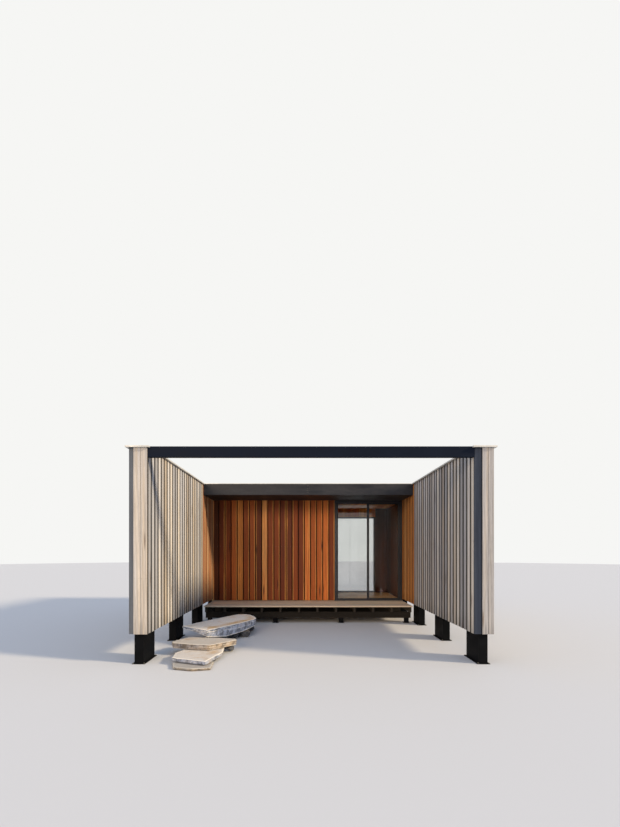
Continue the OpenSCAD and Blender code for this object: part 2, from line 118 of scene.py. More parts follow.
# %% [markdown]
# ## Colours and nodes
# Colours are written as sRGB hex values, as a paint chart gives them. Blender's shaders want linear
# light, so one function turns them. Another adds a node with its settings, colour stops and links,
# which keeps every material below short enough to read. A Math node adds unless it is told otherwise.

# %% Helpers for materials
RGBA = {"data_type": "RGBA", "out": 2}


def linear(hex_colour):
    """An sRGB hex colour as linear red, green, blue and alpha."""
    parts = [int(hex_colour[i:i + 2], 16) / 255 for i in (1, 3, 5)]
    return (*[p / 12.92 if p <= 0.04045 else ((p + 0.055) / 1.055) ** 2.4 for p in parts], 1.0)


def fill(node, *values, **named):
    """Gives inputs a value, a hex colour or another node's output, in order or by name, with _ for a space."""
    for key, value in (*enumerate(values), *named.items()):
        named_like = (s for s in node.inputs if key in (s.identifier, s.name.replace(" ", "_")))
        socket = node.inputs[key] if isinstance(key, int) else next(named_like)
        if isinstance(value, bpy.types.NodeSocket):
            node.id_data.links.new(value, socket)
        else:
            socket.default_value = linear(value) if isinstance(value, str) else value


def add_node(tree, kind, *values, out=0, stops="", **named):
    """Adds a node and gives back one of its outputs, or all with out=None. A name with a capital is an input,
    any other a setting. stops are the colours of a ramp, spread evenly."""
    node = tree.nodes.new("ShaderNode" + kind)
    for key in [k for k in named if k[0].islower()]:
        setattr(node, key, named.pop(key))
    fill(node, *values, **named)
    colours = stops.split()
    for i, colour in enumerate(colours):
        position = i / (len(colours) - 1)
        stop = node.color_ramp.elements[i] if i < 2 else node.color_ramp.elements.new(position)
        stop.position, stop.color = position, linear(colour)
    return node.outputs if out is None else node.outputs[out]


def new_finish(name, **inputs):
    """A material, its shader with these inputs set, and a function that adds nodes to it."""
    material = bpy.data.materials.new(name)
    material.use_nodes = True
    shader = material.node_tree.nodes["Principled BSDF"]
    fill(shader, **inputs)
    return material, shader, lambda *values, **named: add_node(material.node_tree, *values, **named)


print("weathered board colour in linear light:", [round(v, 3) for v in linear("#a79b88")[:3]])

# %% [markdown]
# ## Stage and light
# A pale floor and a white surround stand in for a studio. The surround is white to the camera,
# through glass and in reflections. As a light it is dimmer and a little blue, like open shade. The
# key light is a broad low sun on the right, only a little to the front. It leaves the left wing
# bright, the right wing in its own cool shade, and each face to the front half lit. A weaker warm one
# from the left front passes the left wing and opens the right of the porch.

# %% Floor, surround and lamps
AS_LIGHT = 0.85
bpy.ops.mesh.primitive_circle_add(vertices=96, radius=60.0, fill_type="NGON", location=(0, 0, 0))
studio_floor = bpy.context.object
studio_floor.name = "studio_floor"
floor_finish = new_finish("pale_studio_floor", Base_Color="#cfcecb", Roughness=0.9, Specular_IOR_Level=0.1)[0]
studio_floor.data.materials.append(floor_finish)
studio_floor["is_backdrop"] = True

world = bpy.data.worlds.new("studio")
world.use_nodes = True
tree = world.node_tree
tree.nodes.clear()
path = add_node(tree, "LightPath", out=None)
seen = path["Is Camera Ray"]
for ray in ("Is Glossy Ray", "Is Transmission Ray"):
    seen = add_node(tree, "Math", seen, path[ray], use_clamp=True)
ambient = add_node(tree, "Background", "#cddefc", AS_LIGHT)
surround = add_node(tree, "Background", "#f6f6f4", 1.0)
add_node(tree, "OutputWorld", add_node(tree, "MixShader", seen, ambient, surround), out=None)
bpy.context.scene.world = world
bpy.context.scene.view_settings.view_transform = "Standard"


def soft_sun(name, azimuth, elevation, strength, spread, colour):
    """A broad sun lamp. Azimuth 0 shines from the front, and 90 from the right."""
    lamp = bpy.data.objects.new(name, bpy.data.lights.new(name, "SUN"))
    lamp.data.energy = strength
    lamp.data.angle = math.radians(spread)
    lamp.data.color = linear(colour)[:3]
    a, e = math.radians(azimuth), math.radians(elevation)
    source = Vector((math.sin(a) * math.cos(e), -math.cos(a) * math.cos(e), math.sin(e)))
    lamp.rotation_euler = source.to_track_quat("Z", "Y").to_euler()
    bpy.context.scene.collection.objects.link(lamp)


soft_sun("key_light", 74, 25, 3.7, 7, "#ffebcc")
soft_sun("fill_light", -18, 14, 1.45, 22, "#ffe3c3")

# %% [markdown]
# ## From stock lengths to joined pieces
# Nearly all of the pod is straight stock: boards, folded sheet, rolled steel and round fixings. Each
# of these is a row of equal outlines with skin between them. So one helper skins outlines, and a few
# small ones give it the outlines of a board, a block, a turned fixing or a mitred frame. A wall of
# boards becomes one joined mesh, and not hundreds of objects. Every point carries four numbers of its
# board: its tone, its warmth, how sheltered it is, and its place across the board. The wood finishes
# read them, so that no two boards look alike.

# %% Skin a row of outlines
AXES = {"x": 0, "y": 1, "z": 2}
UP = (0, 0, 1)
PLAIN_LOOK = (0.5, 0.5, 0.0)


def start_piece():
    return {"points": [], "faces": [], "finish": [], "board": []}


def add_rings(piece, rings, look=PLAIN_LOOK, across=None, finish=0, loop=False, sides=None):
    """Skins a row of outlines. With loop the last one joins the first, otherwise both ends are closed.
    sides gives each side of the outline its own finish."""
    count, first = len(rings[0]), len(piece["points"])
    piece["points"] += [tuple(p) for ring in rings for p in ring]
    piece["board"] += [(*look, a) for _ in rings for a in across or [0.0] * count]
    faces = []
    for i in range(len(rings) if loop else len(rings) - 1):
        here, there = first + i * count, first + (i + 1) % len(rings) * count
        for j in range(count):
            k = (j + 1) % count
            faces.append((here + j, here + k, there + k, there + j))
    finishes = (sides or [finish] * count) * (len(faces) // count)
    if not loop:
        faces += [tuple(range(first, first + count))[::-1], tuple(range(there, there + count))]
        finishes += [finish] * 2
    piece["faces"] += faces
    piece["finish"] += finishes


def place_mesh(mesh, slot=None, stands_for=None, body="pod"):
    """Puts a mesh in the scene. It rides on its body and stands for its CAD node."""
    made = bpy.data.objects.new(mesh.name, mesh)
    bpy.context.scene.collection.objects.link(made)
    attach(made, body)
    if stands_for:
        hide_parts(stands_for)
    print(f"{mesh.name}: {len(mesh.polygons)} faces")


def finish_piece(piece, name, finishes, *place, **named):
    """Joins all that was added into one mesh and places it."""
    mesh = bpy.data.meshes.new(name)
    mesh.from_pydata(piece["points"], [], piece["faces"])
    board = mesh.attributes.new("board", "FLOAT_COLOR", "POINT")
    board.data.foreach_set("color", np.array(piece["board"], np.float32).ravel())
    mesh.polygons.foreach_set("material_index", piece["finish"])
    sorter = bmesh.new()
    sorter.from_mesh(mesh)
    bmesh.ops.recalc_face_normals(sorter, faces=sorter.faces)
    sorter.to_mesh(mesh)
    sorter.free()
    for finish in finishes:
        mesh.materials.append(finish)
    place_mesh(mesh, *place, **named)


# %% [markdown]
# A board is squared stock with its long front edges eased by 1 to 4 mm, which is what catches the
# light along each board. It also bows and cups by about a millimetre. The narrow sides that face a gap
# can have a finish of their own; the weathered walls give them the near-black backing finish, painted
# shade of the gap. A block is any other squared part, with all edges eased.

# %% Boards and blocks
BOW_STEP = 0.6


def add_board(piece, low, high, run, face, look, ease=(0.003, 0.003), whole=None, finish=0, bow=0.0008,
              narrow=None):
    """A board between two corners. run is the axis it grew along, face the side that shows, such as -y."""
    r, f = AXES[run], AXES[face[1]]
    a = 3 - r - f
    sign = 1 if face[0] == "+" else -1
    back, front = (low[f], high[f])[::sign]
    start, end = whole or (low[a], high[a])
    outline = [(low[a], back), (low[a], front - sign * ease[0])]
    if ease[0]:
        outline.append((low[a] + ease[0], front))
    outline.append(((low[a] + high[a]) / 2, front - sign * bow / 2))
    if ease[1]:
        outline.append((high[a] - ease[1], front))
    outline += [(high[a], front - sign * ease[1]), (high[a], back)]
    steps = max(1, round((high[r] - low[r]) / BOW_STEP))
    rings = []
    for i in range(steps + 1):
        inward = sign * bow * (0.5 + 0.5 * math.sin(look[0] * 40 + i * 1.3))
        ring = []
        for side, depth in outline:
            point = [0.0, 0.0, 0.0]
            point[r], point[a] = low[r] + (high[r] - low[r]) * i / steps, side
            point[f] = depth if depth == back else depth - inward
            ring.append(point)
        rings.append(ring)
    sides = [finish] * len(outline)
    if narrow is not None:
        sides[0] = sides[-2] = narrow
    add_rings(piece, rings, look, [(side - start) / (end - start) - 0.5 for side, _ in outline], finish, sides=sides)


def add_block(piece, low, high, ease=0.002, finish=0):
    """A squared part with all of its edges eased."""
    rings = []
    for z, inset in ((low[2], ease), (low[2] + ease, 0), (high[2] - ease, 0), (high[2], ease)):
        x0, y0, x1, y1 = low[0] + inset, low[1] + inset, high[0] - inset, high[1] - inset
        rings.append([(x0 + ease, y0, z), (x1 - ease, y0, z), (x1, y0 + ease, z), (x1, y1 - ease, z),
                      (x1 - ease, y1, z), (x0 + ease, y1, z), (x0, y1 - ease, z), (x0, y0 + ease, z)])
    add_rings(piece, rings, finish=finish)


# %% [markdown]
# Nails, screws, bolts and round bars are turned: a few radii along a line. A window frame is one
# profile taken round four corners, which gives true mitres, as a joiner would cut them.

# %% Turned fixings and mitred frames
def add_turned(piece, foot, direction, profile, sides=6, finish=0):
    """profile is a list of (distance from foot along direction, radius)."""
    foot, direction = Vector(foot), Vector(direction).normalized()
    u = direction.orthogonal().normalized()
    v = direction.cross(u)
    turn = [2 * math.pi * i / sides for i in range(sides)]
    add_rings(piece, [[foot + direction * distance + (u * math.cos(t) + v * math.sin(t)) * radius for t in turn]
                      for distance, radius in profile], finish=finish)


def add_mitred_frame(piece, x, z, rows):
    """A profile taken round the rectangle x, z. rows are (Y, inset) or (Y, left, right, bottom, top)."""
    rows = [(row[0], *row[1:] * (4 if len(row) == 2 else 1)) for row in rows]
    add_rings(piece, [[(x[1] - r if right else x[0] + l, y, z[1] - t if top else z[0] + b) for y, l, r, b, t in rows]
                      for right, top in ((0, 0), (1, 0), (1, 1), (0, 1))], loop=True)


test = start_piece()
add_board(test, (0, 0, 0), (0.1, 0.02, 1), "z", "-y", PLAIN_LOOK)
add_turned(test, (0, 0, 0), UP, [(0, 0.01), (0.02, 0.01)])
print("a board and a bar take", len(test["faces"]), "faces")

# %% [markdown]
# ## Timber finishes
# All timber here is sawn board, so the finishes share one recipe and differ in palette and sheen.
# Real board shows four scales: the tone of each board (about 140 mm), broad cathedral figure (10 to
# 40 mm wide and most of a metre long), fine pores (about 1 mm, drawn at 3 mm so that they show), and
# knots (one in about a square metre). Weather adds grey streaks that run down from the top and dirt
# near the foot. The grain follows the board, because the pattern is stretched along its run.

# %% The recipe for sawn boards
FIGURE_WIDTH, FIGURE_LENGTH = 0.022, 0.85
PORE_WIDTH, PORE_LENGTH = 0.003, 0.11
KNOT_SPACING = (0.16, 1.3)
FAR_APART = (37.0, 53.0, 71.0)


def sawn_boards(name, run, tones, pores, knot, roughness, streak=None, sapwood=None, sheltered=None,
                foot_z=None, painted_edge_shade=None, relief=0.35, sheen=0.1):
    """tones are the palest to the darkest board, sheltered those under the roof. streak is what runs through
    them: silver on weathered boards, red heartwood in cedar. Sapwood is the pale band along one edge.
    painted_edge_shade is how much darker both long edges are made, painted shade beside the gaps. Sawn fibres scatter
    light, so sheen is low."""
    material, shader, add = new_finish(name, Specular_IOR_Level=sheen)
    place = add("TexCoord", out="Object")
    marks = add("Attribute", attribute_name="board", out=None)
    tone, warmth, shelter = add("SeparateColor", marks["Color"], out=None)
    own = add("VectorMath", add("CombineXYZ", tone, warmth, warmth), FAR_APART, place, operation="MULTIPLY_ADD")

    def stretched(width, length):
        scale = [1 / width] * 3
        scale[AXES[run]] = 1 / length
        return add("Mapping", own, Scale=scale)

    figure = add("TexNoise", stretched(FIGURE_WIDTH, FIGURE_LENGTH), Scale=1.0, Detail=5.0, Roughness=0.62,
                 Distortion=0.6)
    pore = add("TexNoise", stretched(PORE_WIDTH, PORE_LENGTH), Scale=1.0, Detail=2.0)
    rings = add("TexWave", stretched(FIGURE_WIDTH * 3, FIGURE_LENGTH * 3), Scale=0.7, Distortion=9.0, Detail=3.0,
                Detail_Scale=0.6, bands_direction="DIAGONAL", out=1)
    colour = add("ValToRGB", tone, stops=tones)
    if streak:
        streaks = add("TexNoise", stretched(FIGURE_WIDTH * 2.2, FIGURE_LENGTH * 2), Scale=1.0, Detail=3.0)
        weathered = add("MapRange", add("Math", streaks, warmth), 0.62, 1.12, 0.12, 0.92)
        silver = add("ValToRGB", tone, stops=streak)
        colour = add("Mix", weathered, A_Color=colour, B_Color=silver, **RGBA)
    if sapwood:
        edge = add("Math", add("Math", warmth, 0.5, operation="SUBTRACT"), operation="SIGN")
        edge = add("Math", edge, marks["Alpha"], operation="MULTIPLY")
        pale = add("MapRange", add("Math", figure, 0.3, edge, operation="MULTIPLY_ADD"), 0.46, 0.6, 0.0, 0.75)
        colour = add("Mix", pale, A_Color=colour, B_Color=sapwood, **RGBA)
    if sheltered:
        kept = add("ValToRGB", tone, stops=sheltered)
        colour = add("Mix", shelter, A_Color=colour, B_Color=kept, **RGBA)

    shade = add("MapRange", figure, 0.3, 0.7, 0.74, 1.16)
    for part in (add("MapRange", rings, 0.0, 1.0, 0.9, 1.05), add("MapRange", pore, 0.35, 0.6, pores, 1.0)):
        shade = add("Math", shade, part, operation="MULTIPLY")
    colour = add("VectorMath", colour, Scale=shade, operation="SCALE")
    spot = add("MapRange", add("TexVoronoi", stretched(*KNOT_SPACING), Scale=1.0), 0.05, 0.15, 0.85, 0.0)
    colour = add("Mix", spot, A_Color=colour, B_Color=knot, **RGBA)

    facing = add("SeparateXYZ", add("NewGeometry", out="Normal"), out=AXES[run])
    darker = [add("MapRange", add("Math", facing, operation="ABSOLUTE"), 0.8, 0.95, 1.0, 0.55)]
    if foot_z is not None:
        ragged = add("Math", figure, 0.5, add("SeparateXYZ", place, out=2), operation="MULTIPLY_ADD")
        darker.append(add("MapRange", ragged, foot_z + 0.18, foot_z + 0.5, 0.72, 1.0))
    # Both long edges darker: painted shade beside the gaps.
    if painted_edge_shade is not None:
        rim = add("Math", marks["Alpha"], operation="ABSOLUTE")
        rim = add("Math", figure, 0.16, rim, operation="MULTIPLY_ADD")
        darker.append(add("MapRange", rim, 0.37, 0.53, 1.0, painted_edge_shade))
    for part in darker:
        colour = add("VectorMath", colour, Scale=part, operation="SCALE")
    fill(shader, Base_Color=colour, Roughness=add("MapRange", figure, 0.0, 1.0, roughness - 0.08, roughness + 0.1),
         Normal=add("Bump", Height=add("Math", figure, pore), Strength=relief, Distance=0.0015))
    return material


# %% [markdown]
# The wing walls are hardwood boards left to weather: silver grey and tan on the open faces, and still
# orange-brown where the roof keeps the rain off. The porch wall is oiled cedar, with honey and dark
# red boards side by side. The backing boards between them are coloured near black: a little for dirt,
# and mostly as painted shade of the gaps.

# %% The timbers of the pod
weathered_hardwood = sawn_boards(
    "weathered_sawn_hardwood", "z", "#ebdfcb #decfb8 #cbbaa2 #b5a38a", 0.82, "#6a5848", 0.78,
    streak="#d0cecc #a7a5a3", sheltered="#f6ba7a #e49b58 #cc8142 #aa6532", foot_z=WING_Z, painted_edge_shade=0.38)
# The backing finish is near black as painted shade of the gaps, and also goes on the boards' narrow sides.
backing_painted_shade = sawn_boards(
    "shaded_sawn_backing", "z", "#2c231b #231c17 #191512", 0.8, "#14110e", 0.85,
    streak="#211f1e #181716", sheltered="#442511 #341c0d", foot_z=WING_Z)
# Both end strips are one grey timber darkened as painted shade: the left one a little, the right one to dark
# blue-grey.
silvered_strip_painted_shade = sawn_boards(
    "silvered_hardwood_strip", "z", "#7c7f81 #6c6f71", 0.85, "#4c4a47", 0.75, streak="#878a8c #727577")
hardwood_strip_painted_shade = sawn_boards(
    "stained_hardwood_strip", "z", "#41474f #363c46", 0.85, "#26282c", 0.75, streak="#4b525e #3c424d")
oiled_cedar = sawn_boards(
    "oiled_sawn_cedar", "z", "#ffc274 #e89646 #d67d33 #c26827 #9c4c1a #552b11", 0.84, "#42200f", 0.5,
    streak="#dd7631 #763313", sapwood="#f5aa58", relief=0.25, sheen=0.2)
# The cedar backing is coloured near black as painted shade of the gaps.
cedar_backing_painted_shade = sawn_boards("oiled_cedar_backing", "z", "#341a0e #25120a", 0.85, "#140804", 0.6)
# The wall linings are coloured dark as painted shade; the window head and the ceiling bright orange as painted light.
stained_lining_boards = sawn_boards(
    "stained_lining_boards", "z", "#502b1f #402219 #331b14", 0.9, "#21130b", 0.5, relief=0.12)
head_lining_painted_light = sawn_boards("oiled_lining_boards", "z", "#ffb659 #f39a46 #de8136", 0.9, "#8a4a22", 0.5, relief=0.12)
ceiling_boards = sawn_boards("oiled_ceiling_boards", "y", "#ffba66 #f7a150 #e68b42", 0.9, "#8a4a22", 0.5, relief=0.12)
floor_boards = sawn_boards("oiled_floor_boards", "x", "#dcb484 #cca272 #b88d5e", 0.88, "#6d4a2c", 0.4, relief=0.1)
weathered_deck = sawn_boards(
    "weathered_deck_boards", "x", "#f6e4c8 #e8d1b0 #d4bb97", 0.85, "#7c6650", 0.72, streak="#e4d8c4 #cbbda8")
# The framing is dark treated timber, darkened further to near black as painted shade under the deck.
near_black_framing_painted_shade = sawn_boards("dark_treated_framing", "x", "#28241f #211d1a #191715", 0.85, "#141210", 0.8)
sawn_framing = sawn_boards("pale_sawn_framing", "z", "#d9bd8e #caa874 #b8945f", 0.88, "#7b5a36", 0.7)
print("timber finishes:", [m.name for m in bpy.data.materials if "board" in m.name or "sawn" in m.name])

# %% [markdown]
# ## Steel, zinc, glass, rubber and stone
# The beam, fascia and frames are steel or aluminium under satin powder paint: a dielectric coat with
# an IOR of about 1.5, roughness near 0.45, and a fine orange peel (0.5 mm, drawn at 4 mm so that it
# shows). Dust lies on it in long soft patches. Thin folded sheet is never flat, so the fascia also
# has slow waves half a metre long, which bend its reflections.

# %% Powder-coated metal
PEEL_WIDTH = 0.004
DUST_WIDTH = 0.35


def powder_coat(name, paint, dust, roughness, wave_length=None, dusted=0.5, sheen=0.5):
    material, shader, add = new_finish(name, IOR=1.5, Specular_IOR_Level=sheen)
    place = add("TexCoord", out="Object")
    patches = add("Mapping", place, Scale=(0.5 / DUST_WIDTH, 1 / DUST_WIDTH, 1.6 / DUST_WIDTH))
    patches = add("TexNoise", patches, Scale=1.0, Detail=6.0, Roughness=0.62)
    upward = add("SeparateXYZ", add("NewGeometry", out="Normal"), out=2)
    share = add("Math", add("MapRange", patches, 0.38, 0.72, 0.0, dusted),
                add("MapRange", upward, 0.5, 1.0, 0.0, 0.35), use_clamp=True)
    peel = add("TexNoise", place, Scale=1 / PEEL_WIDTH, Detail=1.0)
    bump = add("Bump", Height=peel, Strength=0.12, Distance=0.0005)
    if wave_length:
        waves = add("TexNoise", place, Scale=1 / wave_length, Detail=1.0)
        bump = add("Bump", Height=waves, Strength=0.35, Distance=0.02, Normal=bump)
    fill(shader, Base_Color=add("Mix", share, A_Color=paint, B_Color=dust, **RGBA), Normal=bump,
         Roughness=add("MapRange", share, 0.0, 1.0, roughness - 0.05, roughness + 0.3))
    return material


beam_paint = powder_coat("powder_coated_steel_beam", "#0a1220", "#1a2130", 0.55, dusted=0.35, sheen=0.07)
sheet_paint = powder_coat("powder_coated_folded_sheet", "#101520", "#4d4c4c", 0.46, 0.5, dusted=0.45, sheen=0.23)
frame_paint = powder_coat("powder_coated_aluminium", "#25262a", "#3b3b3c", 0.38, dusted=0.3, sheen=0.3)
roof_paint = powder_coat("powder_coated_roof_sheet", "#3a3c41", "#6a675f", 0.5, 0.9, dusted=0.7)
post_paint = powder_coat("powder_coated_posts", "#08090b", "#18191b", 0.6, dusted=0.45, sheen=0.05)
# The soffit paint is darkened nearly to black as painted shade of the roof's underside.
soffit_coat_painted_shade = powder_coat("painted_soffit_boards", "#17181a", "#242222", 0.6, dusted=0.3, sheen=0.4)
print("paints:", beam_paint.name, sheet_paint.name, frame_paint.name, roof_paint.name)

# %% [markdown]
# The cappings are galvanised sheet. New zinc shows bright flakes, called spangle, 8 to 15 mm across.
# Weather covers it with a chalky patina that is no metal any more, thin in some places and thick in
# others, so metallic lies between 0.5 and 0.1 and roughness rises. Nails and screws are stainless
# steel, duller than a mirror after a few winters.

# %% Zinc and stainless steel
SPANGLE_WIDTH = 0.012


def bare_metal(name, metal, dulled, roughness, spangle=None, metallic=(1.0, 1.0)):
    material, shader, add = new_finish(name)
    place = add("TexCoord", out="Object")
    share = add("MapRange", add("TexNoise", place, Scale=3.0, Detail=6.0, Roughness=0.65), 0.25, 0.55)
    colour = add("Mix", share, A_Color=metal, B_Color=dulled, **RGBA)
    if spangle:
        grey = add("SeparateColor", add("TexVoronoi", place, Scale=1 / spangle, out="Color"))
        colour = add("VectorMath", colour, Scale=add("MapRange", grey, 0.0, 1.0, 0.88, 1.08), operation="SCALE")
    fill(shader, Base_Color=colour, Metallic=add("MapRange", share, 0.0, 1.0, *metallic),
         Roughness=add("MapRange", share, 0.0, 1.0, roughness - 0.06, roughness + 0.12))
    return material


galvanised_sheet = bare_metal("weathered_galvanised_sheet", "#d6d4ce", "#c0beb6", 0.5, SPANGLE_WIDTH, (0.5, 0.1))
stainless_fixings = bare_metal("stainless_fixings", "#b9b7b2", "#8c8882", 0.4)
print("metals:", galvanised_sheet.name, stainless_fixings.name)

# %% [markdown]
# The glass is clear float glass (IOR 1.52) in sealed units. It has to let lamps through as well, or
# the room behind it would be black, so to shadow rays it is plain see-through. The gaskets round it
# are black EPDM rubber: moulded, matt, slightly grey with age.

# %% Glass and rubber
clear_glass, shader, add = new_finish("clear_float_glass", IOR=1.52, Roughness=0.0, Transmission_Weight=1.0)
smears = add("TexNoise", add("TexCoord", out="Object"), Scale=1.3, Detail=4.0)
fill(shader, Base_Color=add("Mix", smears, A_Color="#eeefee", B_Color="#dcdedd", **RGBA))
open_glass = add("BsdfTransparent", "#d9dad9")
through = add("MixShader", add("LightPath", out="Is Shadow Ray"), shader.outputs[0], open_glass)
fill(clear_glass.node_tree.nodes["Material Output"], through)

rubber, shader, add = new_finish("moulded_rubber_gasket", IOR=1.52, Roughness=0.65)
bloom = add("MapRange", add("TexNoise", add("TexCoord", out="Object"), Scale=9.0, Detail=5.0), 0.35, 0.75)
fill(shader, Base_Color=add("ValToRGB", bloom, stops="#121212 #242322"))
print("see-through and soft:", clear_glass.name, rubber.name)

# %% [markdown]
# The steps are split sandstone. Their tops are natural bedding faces, pale grey, with an ochre band
# of iron near the front edge and a worn cream lip. The split sides are rough, blue-grey or tan from
# slab to slab, and show the beds as lines 15 to 30 mm apart. Grit of about 1 mm is drawn at 4 mm. Each
# slab carries its lip, iron, warmth and tone as point data, which its finish reads; the tone lifts a
# whole slab as painted light, or darkens it as painted shade. The packing stones have no such data and
# share one tone, a darker copy of the sandstone as painted shade under the slabs.

# %% Split sandstone
BED_HEIGHT = 0.022
GRIT_WIDTH = 0.004


def split_stone(name, top_pale, top_stain, side_cool, side_warm, lip_pale, stain_share, tone=None):
    """A finish for split stone. With a tone of its own it reads no point data."""
    material, shader, add = new_finish(name, IOR=1.5, Roughness=0.9)
    place = add("TexCoord", out="Object")
    broad = add("TexNoise", place, Scale=2.6, Detail=8.0, Roughness=0.62)
    blotch = add("TexNoise", place, Scale=9.0, Detail=8.0, Roughness=0.7)
    grit = add("TexNoise", place, Scale=1 / GRIT_WIDTH, Detail=3.0, Roughness=0.7)
    worn, banded, warmed = 0.0, 0.0, 0.0
    if tone is None:
        marks = add("Attribute", attribute_name="stone", out=None)
        worn, banded, warmed = add("SeparateColor", marks["Color"], out=None)
        tone = marks["Alpha"]

    stain = add("MapRange", broad, 0.58 - stain_share, 0.8 - stain_share / 2)
    iron = add("MapRange", blotch, 0.36, 0.6, 0.25)
    stain = add("Math", iron, banded, stain, operation="MULTIPLY_ADD", use_clamp=True)
    top = add("Mix", stain, A_Color=top_pale, B_Color=top_stain, **RGBA)
    warmth = add("MapRange", add("Math", broad, 1.6, warmed, operation="MULTIPLY_ADD"), 0.9, 1.6)
    side = add("Mix", warmth, A_Color=side_cool, B_Color=side_warm, **RGBA)
    bed = add("Math", blotch, 0.05, add("SeparateXYZ", place, out=2), operation="MULTIPLY_ADD")
    bed = add("Math", add("Math", bed, 2 * math.pi / BED_HEIGHT, operation="MULTIPLY"), operation="SINE")
    cracks = add("MapRange", blotch, 0.42, 0.56, 0.4)
    shade = add("Math", add("MapRange", bed, -1.0, 1.0, 0.85, 1.05), cracks, operation="MULTIPLY")
    side = add("VectorMath", side, Scale=shade, operation="SCALE")
    upward = add("SeparateXYZ", add("NewGeometry", out="Normal"), out=2)
    level = add("MapRange", add("Math", blotch, 0.5, upward, operation="MULTIPLY_ADD"), 0.85, 1.1)
    colour = add("Mix", level, A_Color=side, B_Color=top, **RGBA)
    lip = add("Math", add("MapRange", upward, 0.1, 0.5, 0.0, 0.85), worn, operation="MULTIPLY")
    colour = add("Mix", lip, A_Color=colour, B_Color=lip_pale, **RGBA)
    speckle = add("Math", add("MapRange", grit, 0.3, 0.7, 0.78, 1.12), tone, operation="MULTIPLY")
    height = add("Math", grit, 0.35, blotch, operation="MULTIPLY_ADD")
    fill(shader, Base_Color=add("VectorMath", colour, Scale=speckle, operation="SCALE"),
         Normal=add("Bump", Height=height, Strength=0.85, Distance=0.008))
    return material


sandstone = split_stone("split_sandstone", "#d4cdc3", "#bf9b69", "#b0b6c2", "#d0b48a", "#f2ead9", 0.06)
# The packing stones are a darker copy of the sandstone, painted shade under the slabs.
packing_stone_painted_shade = split_stone("packing_sandstone", "#8f8576", "#7d6545", "#5b5c5f", "#7c6a52", "#8f8576", 0.15, tone=1.0)
print("stones:", sandstone.name, packing_stone_painted_shade.name)

# %% [markdown]
# ## The board-clad wing walls
# Each face has a backing layer 20 mm thick and boards 28 mm thick that stand proud of it, one every
# 165 mm. The weathered walls leave 40 mm between two boards and the porch wall leaves 27 mm. The gap
# is a real recess 28 mm deep, so its shadow changes with the light; its backing and the boards' sides in
# it are also coloured dark as painted shade. The boards are spread evenly, so that each face starts and
# ends on a whole board. Where a face meets the roof or a window, the board there is cut to fit. No foot
# is cut quite level with the next one.

# %% Spread boards evenly over a face
BACKING = 0.020
CLADDING = BACKING + 0.028
BOARD_PITCH = 0.165
WEATHERED_GAP = 0.040
PORCH_GAP = 0.027
UNEVEN_FOOT = 0.003
NAIL_ROW = 0.58
NAIL_HEAD = [(-0.001, 0.0036), (0.0007, 0.0036), (0.0013, 0.0018)]


def even_boards(length, gap=WEATHERED_GAP):
    count = max(1, round((length + gap) / BOARD_PITCH))
    pitch = (length + gap) / count
    return [(i * pitch, (i + 1) * pitch - gap) for i in range(count)]


def clad(wall, nails, face, start, back, boards, zones, shelter=lambda at: 0.0, tones=None, narrow=1,
         silvered=None):
    """Backing and boards on one face. zones say from where to where, and between which heights, there is a
    wall. narrow is the finish of the boards' narrow sides; the backing finish there is painted shade.
    silvered is given for close boards, which meet in a fine joint and so get no painted edge shade. It
    says how far they have gone grey, where open boards have reached 1."""
    along_x = face[1] == "y"
    sign = 1 if face[0] == "+" else -1

    def point(along, depth, z):
        p = (start + along, back + sign * depth)
        return (*(p if along_x else p[::-1]), z)

    def corners(s0, s1, depths, z0, z1):
        near, far = depths[::sign]
        return point(s0, near, z0), point(s1, far, z1)

    def cut_to_zones(s0, s1):
        for z in zones:
            if min(s1, z[1]) - max(s0, z[0]) > 0.001:
                yield max(s0, z[0]), min(s1, z[1]), z[2], z[3]

    middles = [zones[0][0]] + [(s0 + s1) / 2 for s0, s1 in boards] + [max(z[1] for z in zones)]
    for s0, s1 in zip(middles, middles[1:]):
        look = (dice.random(), dice.random(), shelter(start + s1))
        for t0, t1, z0, z1 in cut_to_zones(s0, s1):
            add_board(wall, *corners(t0, t1, (0, BACKING), z0, z1), "z", face, look, ease=(0, 0), finish=1)
    for i, (s0, s1) in enumerate(boards):
        tone, warmth, play = dice.random(), dice.random(), dice.random()
        look = ((tones or {}).get(i, tone), warmth * (silvered or 1.0), shelter(start + (s0 + s1) / 2))
        spare = (s1 - s0) / 2 if silvered else 0.0
        for t0, t1, z0, z1 in cut_to_zones(s0, s1):
            ease = (0.003 if t0 == s0 else 0, 0.003 if t1 == s1 else 0)
            add_board(wall, *corners(t0, t1, (BACKING, CLADDING), z0 + UNEVEN_FOOT * play, z1), "z", face, look, ease,
                      whole=(start + s0 - spare, start + s1 + spare), narrow=narrow)
            for row in range(1, int((z1 - z0) / NAIL_ROW) + 1):
                for at in (s0 + (s1 - s0) * 0.2, s0 + (s1 - s0) * 0.8):
                    if t0 < at < t1:
                        add_turned(nails, point(at, CLADDING - 0.0008, z0 + (row - 0.5) * NAIL_ROW),
                                   (0, sign, 0) if along_x else (sign, 0, 0), NAIL_HEAD)


# %% [markdown]
# Under the roof the same boards have kept their colour. On the right wing, which faces away from the
# weather, they have kept it to a board or two in front of the roof's edge as well. How sheltered a
# board is goes from nothing to full over that stretch, and the finish reads it. At each wing's end a
# flat strip closes the corner, beside two close boards.

# %% The four faces of both wing walls
END_JOINT = 0.003
WEATHERED = [weathered_hardwood, backing_painted_shade]


def under_roof(reach, kept):
    """How sheltered a board at y is: nothing until reach before the roof's edge, then up to kept."""
    def shelter(y):
        t = min(1.0, max(0.0, (y - (ROOF_FRONT_Y - reach)) / reach))
        return kept * t * t * (3 - 2 * t)
    return shelter


wall_y, wall_end_y = FRONT_Y + CLADDING, WING_REAR_Y - CLADDING
outer_length, tail = wall_end_y - wall_y, wall_end_y - WALL_REAR_Y
roof_from = ROOF_FRONT_Y - wall_y
wing_thickness = WING_X - COURT_X
